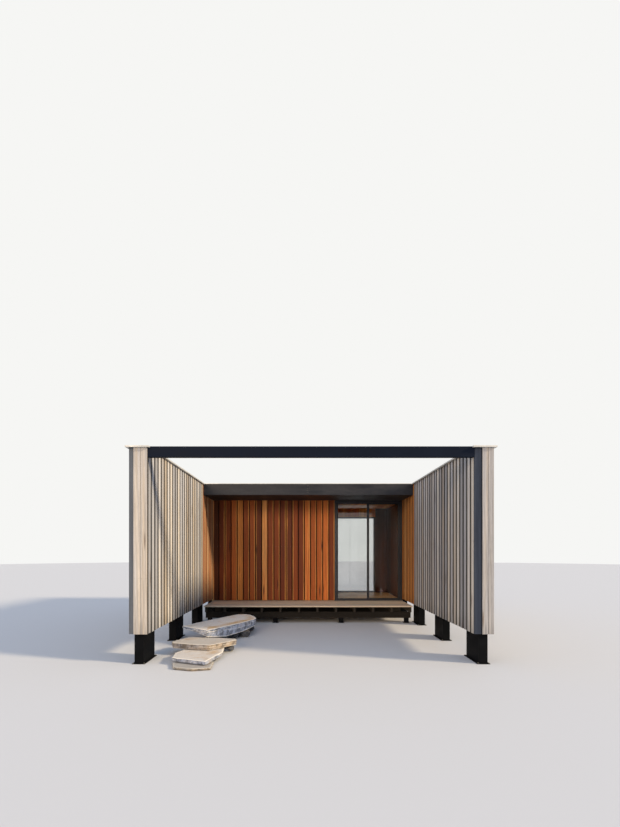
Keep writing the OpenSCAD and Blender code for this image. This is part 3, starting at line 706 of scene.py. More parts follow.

# The end boards' tones and greying carry painted light and shade: the right end's boards are darker as painted shade,
# and the left end's are kept warmer and less grey as painted sunlight.
for side, name, inner_end_y, shelter, strip, strip_finish, end_tones_with_painted_shade, end_greying_with_painted_light in (
        (-1, "left", WALL_FRONT_Y, under_roof(0.12, 0.8), 0.080, silvered_strip_painted_shade, {0: 0.45, 1: 0.6}, 0.35),
        (1, "right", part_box("door_frame")[1].y, under_roof(0.22, 1.0), 0.115, hardwood_strip_painted_shade, {0: 0.8, 1: 0.95}, 1.0)):
    dice = random.Random(11 if side < 0 else 12)
    out, inward = ("+x", "-x")[::side]

    wall, nails = start_piece(), start_piece()
    clad(wall, nails, out, wall_y, side * (WING_X - CLADDING), even_boards(outer_length),
         [(0, outer_length, WING_Z, BOARD_TOP_Z)])
    finish_piece(wall, f"outer_boards_{name}", WEATHERED, "weathered_wood", f"outer_cladding_{name}")

    wall = start_piece()
    inner_length = inner_end_y - wall_y
    clad(wall, nails, inward, wall_y, side * CORE_X, even_boards(inner_length),
         [(0, roof_from, WING_Z, BOARD_TOP_Z), (roof_from, inner_length, WING_Z, SOFFIT_Z)], shelter)
    clad(wall, nails, inward, WALL_REAR_Y, side * CORE_X, even_boards(tail), [(0, tail, WING_Z, SOFFIT_Z)])
    finish_piece(wall, f"court_boards_{name}", WEATHERED, "weathered_wood", f"inner_cladding_{name}")

    wall = start_piece()
    strip_x = COURT_X if side > 0 else -WING_X
    end_board = (wing_thickness - strip - END_JOINT) / 2
    end_boards = [(strip, strip + end_board), (strip + end_board + END_JOINT, wing_thickness)]
    for face, back, strip_y in (("-y", wall_y, (wall_y - BACKING, wall_y)),
                                ("+y", wall_end_y, (wall_end_y, wall_end_y + BACKING))):
        clad(wall, nails, face, strip_x, back, end_boards, [(strip, wing_thickness, WING_Z, BOARD_TOP_Z)],
             tones=end_tones_with_painted_shade, silvered=end_greying_with_painted_light)
        add_board(wall, (strip_x, strip_y[0], WING_Z), (strip_x + strip, strip_y[1], BOARD_TOP_Z), "z", face,
                  (dice.random(), 0.6, 0.0), finish=2)
    finish_piece(wall, f"wing_end_boards_{name}", [*WEATHERED, strip_finish], "weathered_wood",
                 f"end_cladding_{name}")
    finish_piece(nails, f"wing_nails_{name}", [stainless_fixings])

# %% [markdown]
# ## The porch wall and the rear wall
# The porch wall is the warm heart of the pod: the same proud boards, but in oiled cedar, which
# varies strongly from board to board. Most are orange-brown with red heartwood, a few are dark, and two
# from paler logs are honey coloured. The three boards by the left corner are set darkest as painted
# shade. The rear wall isn't in the photograph. It repeats the weathered boards round its window.

# %% Cedar porch wall and weathered rear wall
# Boards 0 to 2 by the left corner are set darkest as painted shade; 8 and 18 are the honey boards.
CEDAR_TONES_WITH_CORNER_SHADE = {0: 1.0, 1: 0.95, 2: 0.85, 8: 0.0, 13: 0.8, 18: 0.15}
REAR_SHELTER = 0.25

dice = random.Random(23)
wall, nails = start_piece(), start_piece()
bay_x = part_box("door_frame")[0].x
porch_length = bay_x + COURT_X
foot_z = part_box("front_wall_cladding")[0].z
clad(wall, nails, "-y", -COURT_X, WALL_FRONT_Y, even_boards(porch_length, PORCH_GAP),
     [(0, porch_length, foot_z, SOFFIT_Z)], tones=CEDAR_TONES_WITH_CORNER_SHADE, narrow=None)
finish_piece(wall, "porch_cedar_boards", [oiled_cedar, cedar_backing_painted_shade], "oiled_cedar", "front_wall_cladding")

wall = start_piece()
window_low, window_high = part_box("rear_window_frame")
window_from, window_to = window_low.x + COURT_X, window_high.x + COURT_X
clad(wall, nails, "+y", -COURT_X, WALL_REAR_Y, even_boards(2 * COURT_X),
     [(0, window_from, foot_z, SOFFIT_Z), (window_from, window_to, window_high.z, SOFFIT_Z),
      (window_to, 2 * COURT_X, foot_z, SOFFIT_Z)], shelter=lambda x: REAR_SHELTER)
finish_piece(wall, "rear_boards", WEATHERED, "weathered_wood", "rear_wall_cladding")
finish_piece(nails, "room_wall_nails", [stainless_fixings])

# %% [markdown]
# ## Linings, ceiling and floors
# Inside, narrow boards meet in V joints. Those on the walls are coloured dark as painted shade. The
# ceiling and the head of the window are the same oiled boards coloured bright orange as painted light,
# and show through the glass. The soffit over the porch is dark paint, darkened nearly to black as
# painted shade, so the roof seems to float over the red wall. One helper lays all of them. It fills
# one box or more with equal boards, and cuts long floor boards at staggered joints, as a floor layer
# would.

# %% Lay boards over a face
JOINT = 0.0006
SHORTEST = 0.4
LINING_WIDTH = 0.09


def lay_boards(name, finish, node, run, face, width, parts=None, ease=0.002, stock=None, slot="inner_wood"):
    piece = start_piece()
    r, a = AXES[run], 3 - AXES[run] - AXES[face[1]]
    for low, high in parts or [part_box(node)]:
        count = max(1, round((high[a] - low[a]) / width))
        pitch = (high[a] - low[a]) / count
        for i in range(count):
            cuts = [low[r], high[r]]
            at = low[r] + (dice.random() * stock if stock else 0)
            while stock and at < high[r] - SHORTEST:
                if at > low[r] + SHORTEST:
                    cuts.insert(-1, at)
                at += stock
            for c0, c1 in zip(cuts, cuts[1:]):
                near, far = list(low), list(high)
                near[a], far[a] = low[a] + i * pitch + JOINT / 2, low[a] + (i + 1) * pitch - JOINT / 2
                near[r], far[r] = c0 + (JOINT / 2 if c0 > low[r] else 0), c1 - (JOINT / 2 if c1 < high[r] else 0)
                add_board(piece, near, far, run, face, (dice.random(), dice.random(), 0.0), (ease, ease), bow=0.0003)
    finish_piece(piece, name, [finish], slot, node)


dice = random.Random(37)
for name, face in (("left", "+x"), ("right", "-x")):
    lay_boards(f"side_wall_lining_{name}", stained_lining_boards, f"side_lining_{name}", "z", face, LINING_WIDTH)
lay_boards("front_room_lining", stained_lining_boards, "front_wall_lining", "z", "+y", LINING_WIDTH)
low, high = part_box("rear_wall_lining")
lay_boards("rear_room_lining", stained_lining_boards, "rear_wall_lining", "z", "-y", LINING_WIDTH,
           [(low, (window_low.x, high.y, high.z)), ((window_high.x, low.y, low.z), high)])
lay_boards("window_head_lining", head_lining_painted_light, None, "z", "-y", LINING_WIDTH,
           [((window_low.x, low.y, window_high.z), (window_high.x, high.y, high.z))])
low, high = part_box("ceiling_lining")
lay_boards("ceiling_boards", ceiling_boards, "ceiling_lining", "y", "-z", 0.11,
           [((low.x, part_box("front_wall_lining")[0].y, low.z), (bay_x, high.y, high.z)),
            ((bay_x, low.y, low.z), high)])
lay_boards("room_floor_boards", floor_boards, "room_floor", "x", "+z", 0.13, ease=0.001, stock=1.9)
low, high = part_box("soffit_lining")
lay_boards("soffit_boards", soffit_coat_painted_shade, "soffit_lining", "x", "-z", 0.12,
           [(low, (high.x, WALL_FRONT_Y, high.z)), ((low.x, WALL_REAR_Y, low.z), high)], ease=0.004,
           slot="charcoal_steel")

# %% [markdown]
# The deck is 22 mm hardwood with 5 mm gaps, screwed down to each joist with two stainless screws a
# board.

# %% Deck
DECK_BOARD, DECK_GAP = 0.140, 0.005
JOISTS, JOIST_WIDTH = 12, 0.045
DECK_SCREW = [(-0.002, 0.0045), (0.0005, 0.0045), (0.0009, 0.003)]

deck, screws = start_piece(), start_piece()
low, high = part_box("porch_deck")
count = round((high.y - low.y + DECK_GAP) / (DECK_BOARD + DECK_GAP))
pitch = (high.y - low.y + DECK_GAP) / count
joist_low, joist_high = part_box("floor_joists")
joist_step = (joist_high.x - joist_low.x - JOIST_WIDTH) / (JOISTS - 1)
for i in range(count):
    y0, y1 = low.y + i * pitch, low.y + (i + 1) * pitch - DECK_GAP
    add_board(deck, (low.x, y0, low.z), (high.x, y1, high.z), "x", "+z", (dice.random(), dice.random(), 0.0),
              (0.004, 0.004), bow=0.0012)
    for j in range(JOISTS):
        for share in (0.22, 0.78):
            at = (joist_low.x + j * joist_step + JOIST_WIDTH / 2, y0 + (y1 - y0) * share, high.z - 0.002)
            add_turned(screws, at, UP, DECK_SCREW, sides=8)
finish_piece(deck, "deck_boards", [weathered_deck], "pale_deck", "porch_deck")
finish_piece(screws, "deck_screws", [stainless_fixings])

# %% [markdown]
# ## The beam between the wings
# The beam is a hot-rolled channel with its plain web to the front. Rolling leaves rounded roots and
# toes, so its outline is drawn with those radii and run from wing to wing. A plate is welded into
# each end, and four bolts hold it to the wing's framing.

# %% Rolled steel channel
FLANGE, WEB, END_PLATE = 0.011, 0.008, 0.010
CORNER, TOE, ROOT = 0.002, 0.005, 0.010
BOLT_FROM_FRONT, BOLT_FROM_BACK, BOLT_FROM_EDGE = 0.026, 0.024, 0.045
BOLT_HEAD = [(0, 0.020), (0.003, 0.020), (0.0031, 0.013), (0.013, 0.013), (0.014, 0.011)]


def arc(y, z, radius, start, end):
    """Points on a round corner, angles in degrees."""
    steps = 2 if radius == CORNER else 4
    angles = [math.radians(start + (end - start) * i / steps) for i in range(steps + 1)]
    return [(y + radius * math.cos(t), z + radius * math.sin(t)) for t in angles]


def extrude_along_x(piece, outline, x0, x1):
    """Runs an outline of Y and Z points from x0 to x1."""
    add_rings(piece, [[(x, y, z) for y, z in outline] for x in (x0, x1)])


low, high = beam_low, beam_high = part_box("front_beam")
half = [*arc(low.y + CORNER, low.z + CORNER, CORNER, 180, 270),
        *arc(high.y - CORNER, low.z + CORNER, CORNER, 270, 360),
        *arc(high.y - TOE, low.z + FLANGE - TOE, TOE, 0, 90),
        *arc(low.y + WEB + ROOT, low.z + FLANGE + ROOT, ROOT, 270, 180)]
channel = half + [(y, low.z + high.z - z) for y, z in reversed(half)]
beam = start_piece()
extrude_along_x(beam, channel, low.x + 0.001, high.x - 0.001)
for side, x in ((1, high.x), (-1, low.x)):
    inner_x = x - side * END_PLATE
    x0, x1 = sorted((x, inner_x))
    add_block(beam, (x0, low.y + WEB, low.z + FLANGE), (x1, high.y - 0.006, high.z - FLANGE))
    for y in (low.y + BOLT_FROM_FRONT, high.y - BOLT_FROM_BACK):
        for z in (low.z + BOLT_FROM_EDGE, high.z - BOLT_FROM_EDGE):
            add_turned(beam, (inner_x, y, z), (-side, 0, 0), BOLT_HEAD, finish=1)
finish_piece(beam, "steel_channel_beam", [beam_paint, stainless_fixings], "charcoal_steel", "front_beam")

# %% [markdown]
# ## The roof's edges
# The fascia is folded sheet in two lengths that meet in the middle, with a hem along the foot where
# water drips off. The hem stands 2 mm proud and draws a fine line along the edge. A thin zinc
# flashing closes the top, and zinc trays fold over the tops of the wing walls.

# %% Folded fascias
HEM, HEM_HEIGHT = 0.002, 0.026
SHEET_JOINT, STRAP, STRAP_SCREW = 0.003, 0.020, 0.018
SCREW_ROWS, SCREW_MARGIN = 4, 0.05
PAN_SCREW = [(0, 0.004), (0.0012, 0.0038), (0.0019, 0.002)]

for name, outward in (("front", -1), ("rear", 1)):
    low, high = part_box(f"{name}_fascia")
    back, front = (low.y, high.y)[::outward]
    face = front - outward * HEM
    outline = [(front, low.z + 0.003), (front - outward * 0.003, low.z), (back, low.z), (back, high.z),
               (face, high.z), (face, low.z + HEM_HEIGHT), (front, low.z + HEM_HEIGHT - 0.002)]
    piece = start_piece()
    middle = (low.x + high.x) / 2
    extrude_along_x(piece, outline, low.x, middle - SHEET_JOINT / 2)
    extrude_along_x(piece, outline, middle + SHEET_JOINT / 2, high.x)
    strap = sorted((front - outward * 0.006, back))
    add_block(piece, (middle - STRAP, strap[0], low.z + 0.004), (middle + STRAP, strap[1], high.z), ease=0.001)
    for x in (middle - STRAP_SCREW, middle + STRAP_SCREW):
        for i in range(SCREW_ROWS):
            z = low.z + SCREW_MARGIN + i * (high.z - low.z - 2 * SCREW_MARGIN) / (SCREW_ROWS - 1)
            add_turned(piece, (x, face - outward * 0.0005, z), (0, outward, 0), PAN_SCREW, sides=8, finish=1)
    finish_piece(piece, f"{name}_folded_fascia", [sheet_paint, stainless_fixings], "charcoal_steel", f"{name}_fascia")

# %% [markdown]
# A capping is one folded tray. Its outline is drawn once and then offset inwards for the sheet's
# thickness and the small bend at the top edge. The tray is notched round the end of the beam, and over
# the roof it is notched back to the wall's framing. Where two lengths meet, a cover strip lies over
# the joint. A flat soffit strip closes the tray from below, just inside its edge.

# %% Folded zinc cappings
CAP_OVER, CAP_DROP, CAP_SHEET = 0.040, 0.025, 0.0015
COVER, COVER_WIDTH = 0.0012, 0.09
FOLD, FOLD_EASE = 0.004, 0.0006
NOTCH_GAP, BEAM_GAP = 0.010, 0.002
CAP_SCREW = [(0, 0.0045), (0.0010, 0.0043), (0.0015, 0.002)]
x_in, x_out = COURT_X - CAP_OVER, WING_X + CAP_OVER
y0, y1 = FRONT_Y - CAP_OVER, WING_REAR_Y + CAP_OVER
roof_y0, roof_y1 = ROOF_FRONT_Y - NOTCH_GAP, ROOF_REAR_Y + NOTCH_GAP
beam_y0, beam_y1 = beam_low.y - BEAM_GAP, beam_high.y + BEAM_GAP


def inset_outline(points, distance):
    """Moves each side of an outline inwards. The points run anticlockwise."""
    moved = []
    for i, here in enumerate(points):
        before, here, after = Vector(points[i - 1]), Vector(here), Vector(points[(i + 1) % len(points)])
        d0, d1 = (here - before).normalized(), (after - here).normalized()
        n0, n1 = Vector((-d0.y, d0.x)), Vector((-d1.y, d1.x))
        moved.append(here + (n0 + n1) * (distance / (1 + n0.dot(n1))))
    return moved


def add_folded(tray, side, x, y, z):
    """A flat part of a tray, on the left or on the right."""
    x = sorted((side * x[0], side * x[1]))
    add_block(tray, (x[0], y[0], z[0]), (x[1], y[1], z[1]), ease=FOLD_EASE)


for side, name in ((-1, "left"), (1, "right")):
    outline = [(x_in, y0), (x_out, y0), (x_out, y1), (x_in, y1), (x_in, roof_y1), (CORE_X, roof_y1),
               (CORE_X, roof_y0), (x_in, roof_y0), (x_in, beam_y1), (COURT_X, beam_y1), (COURT_X, beam_y0),
               (x_in, beam_y0)]
    if side < 0:
        outline = [(-x, y) for x, y in reversed(outline)]
    levels = [(CAP_SHEET + COVER, TOP_Z - COVER - CAP_SHEET), (CAP_SHEET + COVER, TOP_Z - CAP_DROP),
              (COVER, TOP_Z - CAP_DROP), (COVER, TOP_Z - COVER - 0.002), (COVER + 0.002, TOP_Z - COVER)]
    tray = start_piece()
    add_rings(tray, [[(*p, z) for p in inset_outline(outline, inset)] for inset, z in levels])
    for i in (1, 2, 3):
        y = y0 + (y1 - y0) * i / 4
        cover_x = (CORE_X if ROOF_FRONT_Y - 0.1 < y < ROOF_REAR_Y + 0.1 else x_in, x_out)
        cover_y = (y - COVER_WIDTH / 2, y + COVER_WIDTH / 2)
        add_folded(tray, side, cover_x, cover_y, (TOP_Z - FOLD, TOP_Z))
        add_folded(tray, side, (x_out - FOLD, x_out), cover_y, (TOP_Z - CAP_DROP, TOP_Z))
        left, right = sorted(side * x for x in cover_x)
        for share in (0.06, 0.5, 0.94):
            for dy in (-0.03, 0.03):
                add_turned(tray, (left + (right - left) * share, y + dy, TOP_Z - 0.0016), UP, CAP_SCREW, sides=8)
    inner, outer = x_in + FOLD, x_out - FOLD
    for x, y in (((inner, COURT_X), (beam_y1 + FOLD, roof_y0 - FOLD)), ((WING_X, outer), (FRONT_Y, WING_REAR_Y)),
                 ((inner, COURT_X), (roof_y1 + FOLD, WING_REAR_Y)), ((COURT_X, outer), (y0 + FOLD, FRONT_Y)),
                 ((COURT_X, outer), (WING_REAR_Y, y1 - FOLD))):
        if y[1] - y[0] > 0.01:
            add_folded(tray, side, x, y, (TOP_Z - CAP_DROP + 0.0015, TOP_Z - 0.008))
    finish_piece(tray, f"folded_capping_{name}", [galvanised_sheet], "zinc_flashing", f"cap_flashing_{name}")

# %% [markdown]
# The roof sheet keeps its CAD shape: ribs 24 mm high every 190 mm. It gets hexagonal screws with
# washers along each rib, in rows where the rafters are.

# %% Roof screws
RIB_PITCH, RAFTERS = 0.190, 5
RIB_MARGIN, RAFTER_MARGIN = 0.06, 0.12
WASHERED_SCREW = [(-0.001, 0.008), (0.0015, 0.008), (0.0016, 0.005), (0.006, 0.005), (0.0065, 0.004)]

screws = start_piece()
low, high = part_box("roof_sheet")
ribs = int((high.x - low.x - 2 * RIB_MARGIN) / RIB_PITCH) + 1
first_rib = (low.x + high.x) / 2 - (ribs - 1) * RIB_PITCH / 2
for i in range(ribs):
    for row in range(RAFTERS):
        y = low.y + RAFTER_MARGIN + row * (high.y - low.y - 2 * RAFTER_MARGIN) / (RAFTERS - 1)
        add_turned(screws, (first_rib + i * RIB_PITCH, y, high.z), UP, WASHERED_SCREW)
finish_piece(screws, "roof_screws", [stainless_fixings])

# %% [markdown]
# ## The glazed bay
# The bay has a powder-coated frame, a fixed leaf on the inner line and a sliding leaf on the outer
# one. Each frame is a profile with eased edges taken round four mitred corners. The sliding leaf
# runs in a groove in the head and sill, so the frame's profile has that groove, and a slim one for a
# brush seal in the jambs. Three rubber caps close the drain slots in the sill.

# %% Bay frame with its grooves and rail
FRAME_WIDTH, SASH_WIDTH = 0.040, 0.048
SILL_RISE, GUIDE = 0.008, 0.014
GLASS, EASE = 0.020, 0.002
RUNNING_GAP, BRUSH_GROOVE = 0.006, 0.004
HALF_RAIL, RAIL_HEIGHT = 0.003, 0.004
HALF_CAP = 0.02


def spans(node):
    """The box of a node as its x, y and z spans."""
    return list(zip(*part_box(node)))


x, y, z = spans("door_frame")
slide_x, slide_y, slide_z = spans("sliding_sash")
sill = FLOOR_Z + SILL_RISE - z[0]
groove = (slide_y[0] - RUNNING_GAP, slide_y[1] + RUNNING_GAP)
clear = (FRAME_WIDTH, FRAME_WIDTH, sill, FRAME_WIDTH)
eased = tuple(v - EASE for v in clear)
grooved = (FRAME_WIDTH - BRUSH_GROOVE, FRAME_WIDTH - BRUSH_GROOVE, sill - GUIDE, FRAME_WIDTH - GUIDE)
bay = start_piece()
add_mitred_frame(bay, x, z, [(y[0], 0), (y[1], 0), (y[1], *eased), (y[1] - EASE, *clear), (groove[1], *clear),
                             (groove[1], *grooved), (groove[0], *grooved), (groove[0], *clear),
                             (y[0] + EASE, *clear), (y[0], *eased)])
rail_y = (slide_y[0] + slide_y[1]) / 2
rail_z = z[0] + sill - GUIDE
add_block(bay, (x[0] + FRAME_WIDTH, rail_y - HALF_RAIL, rail_z),
          (x[1] - FRAME_WIDTH, rail_y + HALF_RAIL, rail_z + RAIL_HEIGHT), ease=0.001, finish=1)
for share in (0.2, 0.5, 0.8):
    at = x[0] + FRAME_WIDTH + (x[1] - x[0] - 2 * FRAME_WIDTH) * share
    add_block(bay, (at - HALF_CAP, y[0] - 0.0006, z[0] + 0.026), (at + HALF_CAP, y[0] + 0.002, z[0] + 0.029),
              ease=0.0003, finish=2)
finish_piece(bay, "bay_frame", [frame_paint, stainless_fixings, rubber], "charcoal_steel", "door_frame")

# %% [markdown]
# Both leaves share one profile: a flat rail with eased outer edges and a sloped bead towards the
# glass. The rollers of the sliding leaf stay on the rail in the sill, just clear of it. Rubber
# gaskets press on both sides of each glass.

# %% Leaves, gaskets and rear window
BEAD, BEAD_SLOPE = 0.008, 0.005
ROLLER, ROLLER_DROP, ROLLER_INSET = 0.06, 0.0057, 0.08
GASKET = 0.004


def leaf(name, x, y, z, node, body="pod", rollers=()):
    piece = start_piece()
    add_mitred_frame(piece, x, z, [
        (y[0] + EASE, 0), (y[1] - EASE, 0), (y[1], EASE), (y[1], SASH_WIDTH - BEAD), (y[1] - BEAD_SLOPE, SASH_WIDTH),
        (y[0] + BEAD_SLOPE, SASH_WIDTH), (y[0], SASH_WIDTH - BEAD), (y[0], EASE)])
    middle = (y[0] + y[1]) / 2
    for at in rollers:
        add_block(piece, (at, middle - HALF_RAIL, z[0] - ROLLER_DROP),
                  (at + ROLLER, middle + HALF_RAIL, z[0] + 0.002), ease=0.0008, finish=1)
    finish_piece(piece, name, [frame_paint, stainless_fixings], "charcoal_steel", node, body)


def gaskets(name, x, y, z, width, body="pod"):
    """Rubber on both faces of a glass that fills the opening inside a leaf of that width."""
    piece = start_piece()
    for outward in (-1, 1):
        glass_y = (y[0] + y[1]) / 2 + outward * GLASS / 2
        lip_y = glass_y + outward * GASKET
        add_mitred_frame(piece, x, z, [(glass_y, width - 0.001), (lip_y, width - 0.001), (lip_y, width + GASKET),
                                       (glass_y, width + 0.007)])
    finish_piece(piece, name, [rubber], body=body)


slide_z = (FLOOR_Z + SILL_RISE - GUIDE + RAIL_HEIGHT + RUNNING_GAP, slide_z[1])
leaf("fixed_leaf", *spans("fixed_sash"), "fixed_sash")
leaf("sliding_leaf", slide_x, slide_y, slide_z, "sliding_sash", "sliding_door",
     rollers=(slide_x[0] + ROLLER_INSET, slide_x[1] - ROLLER_INSET - ROLLER))
gaskets("fixed_leaf_gaskets", *spans("fixed_sash"), SASH_WIDTH)
gaskets("sliding_leaf_gaskets", slide_x, slide_y, slide_z, SASH_WIDTH, "sliding_door")

piece = start_piece()
x, y, z = spans("rear_window_frame")
add_mitred_frame(piece, x, z, [(y[0], 0), (y[1], 0), (y[1], FRAME_WIDTH - EASE), (y[1] - EASE, FRAME_WIDTH),
                               (y[0] + EASE, FRAME_WIDTH), (y[0], FRAME_WIDTH - EASE)])
finish_piece(piece, "rear_window_mitred_frame", [frame_paint], "charcoal_steel", "rear_window_frame")
gaskets("rear_window_gaskets", x, y, z, FRAME_WIDTH)

# %% [markdown]
# The pull is a flat bar 600 mm long on two round stand-offs, each with a small rose against the leaf.

# %% Door pull
BAR = 0.012
low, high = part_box("door_pull")
pull = start_piece()
add_block(pull, low, (high.x, low.y + BAR, high.z), ease=0.003)
reach = high.y - low.y - BAR
for z in (low.z + 0.06, high.z - 0.06):
    add_turned(pull, ((low.x + high.x) / 2, low.y + BAR - 0.001, z), (0, 1, 0),
               [(0, 0.007), (reach - 0.004, 0.007), (reach - 0.0038, 0.0098), (reach + 0.001, 0.0098)], sides=20)
finish_piece(pull, "door_pull_bar", [frame_paint], "charcoal_steel", "door_pull", "sliding_door")

# %% [markdown]
# ## What carries the pod
# Joists, bearers, stumps and blade posts keep their CAD shapes and get their finishes. Each post and
# stump stands on a base plate that is bolted down, as it would be on its footing.

# %% Base plates
ANCHOR = [(-0.002, 0.011), (0.002, 0.011), (0.0021, 0.008), (0.009, 0.008), (0.010, 0.0065)]
POST_WIDTH, POST_LENGTH, POSTS = 0.140, 0.520, 5
STUMP_WIDTH, STUMPS = 0.100, 4
ANCHOR_INSET = 0.014
plates = start_piece()


def base_plate(x, y, width, length, margin, thick):
    """A plate that reaches past a foot of that width and length by the margin, with its anchors."""
    half_x, half_y = width / 2 + margin, length / 2 + margin
    add_block(plates, (x - half_x, y - half_y, 0), (x + half_x, y + half_y, thick), ease=0.0015)
    for dx in (ANCHOR_INSET - half_x, half_x - ANCHOR_INSET):
        for dy in (ANCHOR_INSET - half_y, half_y - ANCHOR_INSET):
            add_turned(plates, (x + dx, y + dy, thick), UP, ANCHOR, finish=1)


low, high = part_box("wing_posts")
step = (high.y - low.y - POST_LENGTH) / (POSTS - 1)
for side in (-1, 1):
    for i in range(POSTS):
        base_plate(side * (high.x - POST_WIDTH / 2), low.y + i * step + POST_LENGTH / 2,
                   POST_WIDTH, POST_LENGTH, margin=0.030, thick=0.012)

bearer_y = sorted({round(v.co.y, 4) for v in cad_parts["floor_bearers"].data.vertices})
low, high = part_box("floor_stumps")
step = (high.x - low.x - STUMP_WIDTH) / (STUMPS - 1)
for y0, y1 in zip(bearer_y[::2], bearer_y[1::2]):
    for i in range(STUMPS):
        base_plate(low.x + STUMP_WIDTH / 2 + i * step, (y0 + y1) / 2, STUMP_WIDTH, STUMP_WIDTH,
                   margin=0.028, thick=0.008)
finish_piece(plates, "base_plates", [post_paint, stainless_fixings], "charcoal_steel")

# %% [markdown]
# ## Stone steps
# The four steps are natural slabs: worn, nearly flat tops, and sides that were split by hammer and
# wedge. Each slab starts from its solid, which is cut off at its underside and remeshed into even
# 11 mm squares. Then each point moves inwards only: a little on the top, and up to 40 mm on the
# sides, in layers that follow the stone's beds. So a slab never grows past its solid. The longest
# slab is thin at its left tip, thick in the middle and thinner again at its right end.

# %% Rough slabs
VOXEL = 0.011
BED = 0.024
THICKNESS_SHARE = ((-2.46, -2.10, -1.87, -1.60, -1.35, -1.12), (0.34, 0.46, 0.62, 1.0, 0.95, 0.68))
LIP = 0.035
IRON_BAND = (0.12, 0.14)
IRON_SIDE = Vector((0.87, -0.49))


def thickness_share(number, x):
    """How much of its full thickness a slab has at x. Only the longest slab varies."""
    return float(np.interp(x, *THICKNESS_SHARE)) if number == 1 else 1.0


def rim_marks(points, blank, iron, warmth, tone):
    """Worn lip, iron band, warmth and tone for each point, from how far it lies inside the slab's outline."""
    corners = [Vector(v.co[:2]) for v in blank.vertices]
    hull = [corners[i] for i in geometry.convex_hull_2d(corners)]
    middle = sum(hull, Vector((0, 0))) / len(hull)
    nearest, stained = np.full(len(points), 9.0), np.zeros(len(points))
    for a, b in zip(hull, hull[1:] + hull[:1]):
        if (b - a).length > 0.005:
            outward = Vector(((b - a).y, (a - b).x)).normalized()
            if outward.dot(middle - a) > 0:
                outward.negate()
            inset = (np.array(a) - points[:, :2]) @ np.array(outward)
            nearer = inset < nearest
            nearest[nearer] = inset[nearer]
            stained[nearer] = max(0.0, outward.dot(IRON_SIDE))
    lip = np.clip(1.5 - nearest / LIP, 0, 1)
    band = np.clip(1 - abs(nearest - IRON_BAND[0]) / IRON_BAND[1], 0, 1)
    marks = [lip, iron * stained * band, np.full(len(points), warmth), np.full(len(points), tone)]
    return np.column_stack(marks).astype(np.float32)


def slab_blank(node, underside):
    """A node's solid, cut off at the underside, and an even mesh of it made by Blender's voxel remesh."""
    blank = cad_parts[node].data.copy()
    shaper = bmesh.new()
    shaper.from_mesh(blank)
    bmesh.ops.remove_doubles(shaper, verts=shaper.verts, dist=0.0001)
    if underside > 0:
        cut = bmesh.ops.bisect_plane(shaper, geom=shaper.verts[:] + shaper.edges[:] + shaper.faces[:],
                                     plane_co=(0, 0, underside + 0.002), plane_no=UP, clear_inner=True)
        bmesh.ops.holes_fill(shaper, edges=[e for e in cut["geom_cut"] if isinstance(e, bmesh.types.BMEdge)])
    bmesh.ops.recalc_face_normals(shaper, faces=shaper.faces)
    shaper.to_mesh(blank)
    shaper.free()
    blank.materials.clear()
    holder = bpy.data.objects.new("stone_blank", blank)
    bpy.context.scene.collection.objects.link(holder)
    remesh = holder.modifiers.new("remesh", "REMESH")
    remesh.mode = "VOXEL"
    remesh.voxel_size = VOXEL
    mesh = bpy.data.meshes.new_from_object(holder.evaluated_get(bpy.context.evaluated_depsgraph_get()))
    bpy.data.objects.remove(holder)
    return blank, mesh


def vertex_data(mesh, name):
    values = np.zeros(len(mesh.vertices) * 3, np.float32)
    mesh.vertices.foreach_get(name, values)
    return values.reshape(-1, 3)


def split_slab(number, underside, side_depth, top_depth, *marks):
    node, seed = f"stone_step_{number}", number * 3.7
    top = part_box(node)[1].z
    blank, mesh = slab_blank(node, underside)
    mesh.name = f"split_slab_{number}"
    points = vertex_data(mesh, "co")
    for i, (p, n) in enumerate(zip(points, vertex_data(mesh, "normal"))):
        p = Vector(p)
        upright = 1 - abs(n[2])
        layer = math.floor((p.z + 0.02 * noise.noise(p * 2.5 + Vector((seed, 0, 0)))) / BED)
        ledge = 0.5 + 0.5 * noise.noise(Vector((p.x * 3.1, p.y * 3.1, layer * 5.7 + seed)))
        chips = noise.ridged_multi_fractal(p * 6 + Vector((seed, seed, 0)), 0.9, 2.1, 4, 1.0, 2.0) / 2.2
        pits = 0.5 + 0.5 * noise.noise(p * 17 + Vector((0, seed, seed)))
        side = side_depth * (0.4 * ledge + 0.35 * max(0.0, min(1.0, chips)) + 0.25 * pits)
        wear = top_depth * (0.5 + 0.5 * noise.fractal(p * 3.3 + Vector((0, seed, 0)), 0.8, 2.0, 4))
        p -= Vector(n) * (upright * side + (1 - upright) * wear)
        p.z = top - (top - p.z) * thickness_share(number, p.x)
        points[i] = p
    mesh.vertices.foreach_set("co", points.ravel())
    stone = mesh.attributes.new("stone", "FLOAT_COLOR", "POINT")
    stone.data.foreach_set("color", rim_marks(points, blank, *marks).ravel())
    mesh.update()
    mesh.shade_smooth()
    mesh.set_sharp_from_angle(angle=math.radians(38))
    mesh.materials.append(sandstone)
    place_mesh(mesh, "sandstone", node)


STEP_1_THICKNESS = 0.210
tops = {i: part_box(f"stone_step_{i}")[1].z for i in (1, 3, 4)}
undersides = {1: tops[1] - STEP_1_THICKNESS, 2: tops[3], 3: tops[4], 4: 0.0}
# The last number of each row is the slab's tone: slab 1 is lifted to 1.3 as painted light, and slabs 2 and 4 are
# darkened as painted shade.
for number, *shape_and_marks in ((1, 0.040, 0.008, 1.0, 0.05, 1.3), (2, 0.034, 0.006, 0.2, 0.5, 0.76),
                                 (3, 0.032, 0.006, 0.3, 0.15, 1.0), (4, 0.026, 0.006, 0.3, 0.6, 0.6)):
    split_slab(number, undersides[number], *shape_and_marks)

# %% [markdown]
# Under the slabs lie packing stones, angular rubble wedged in to hold each slab level. A rubble stone
# is the hull round a few random points, cut finer and roughened. They fill the space that the
# packing solids hold, from the ground up to each slab.

# %% Packing stones
RUBBLE_SPACING = 0.17


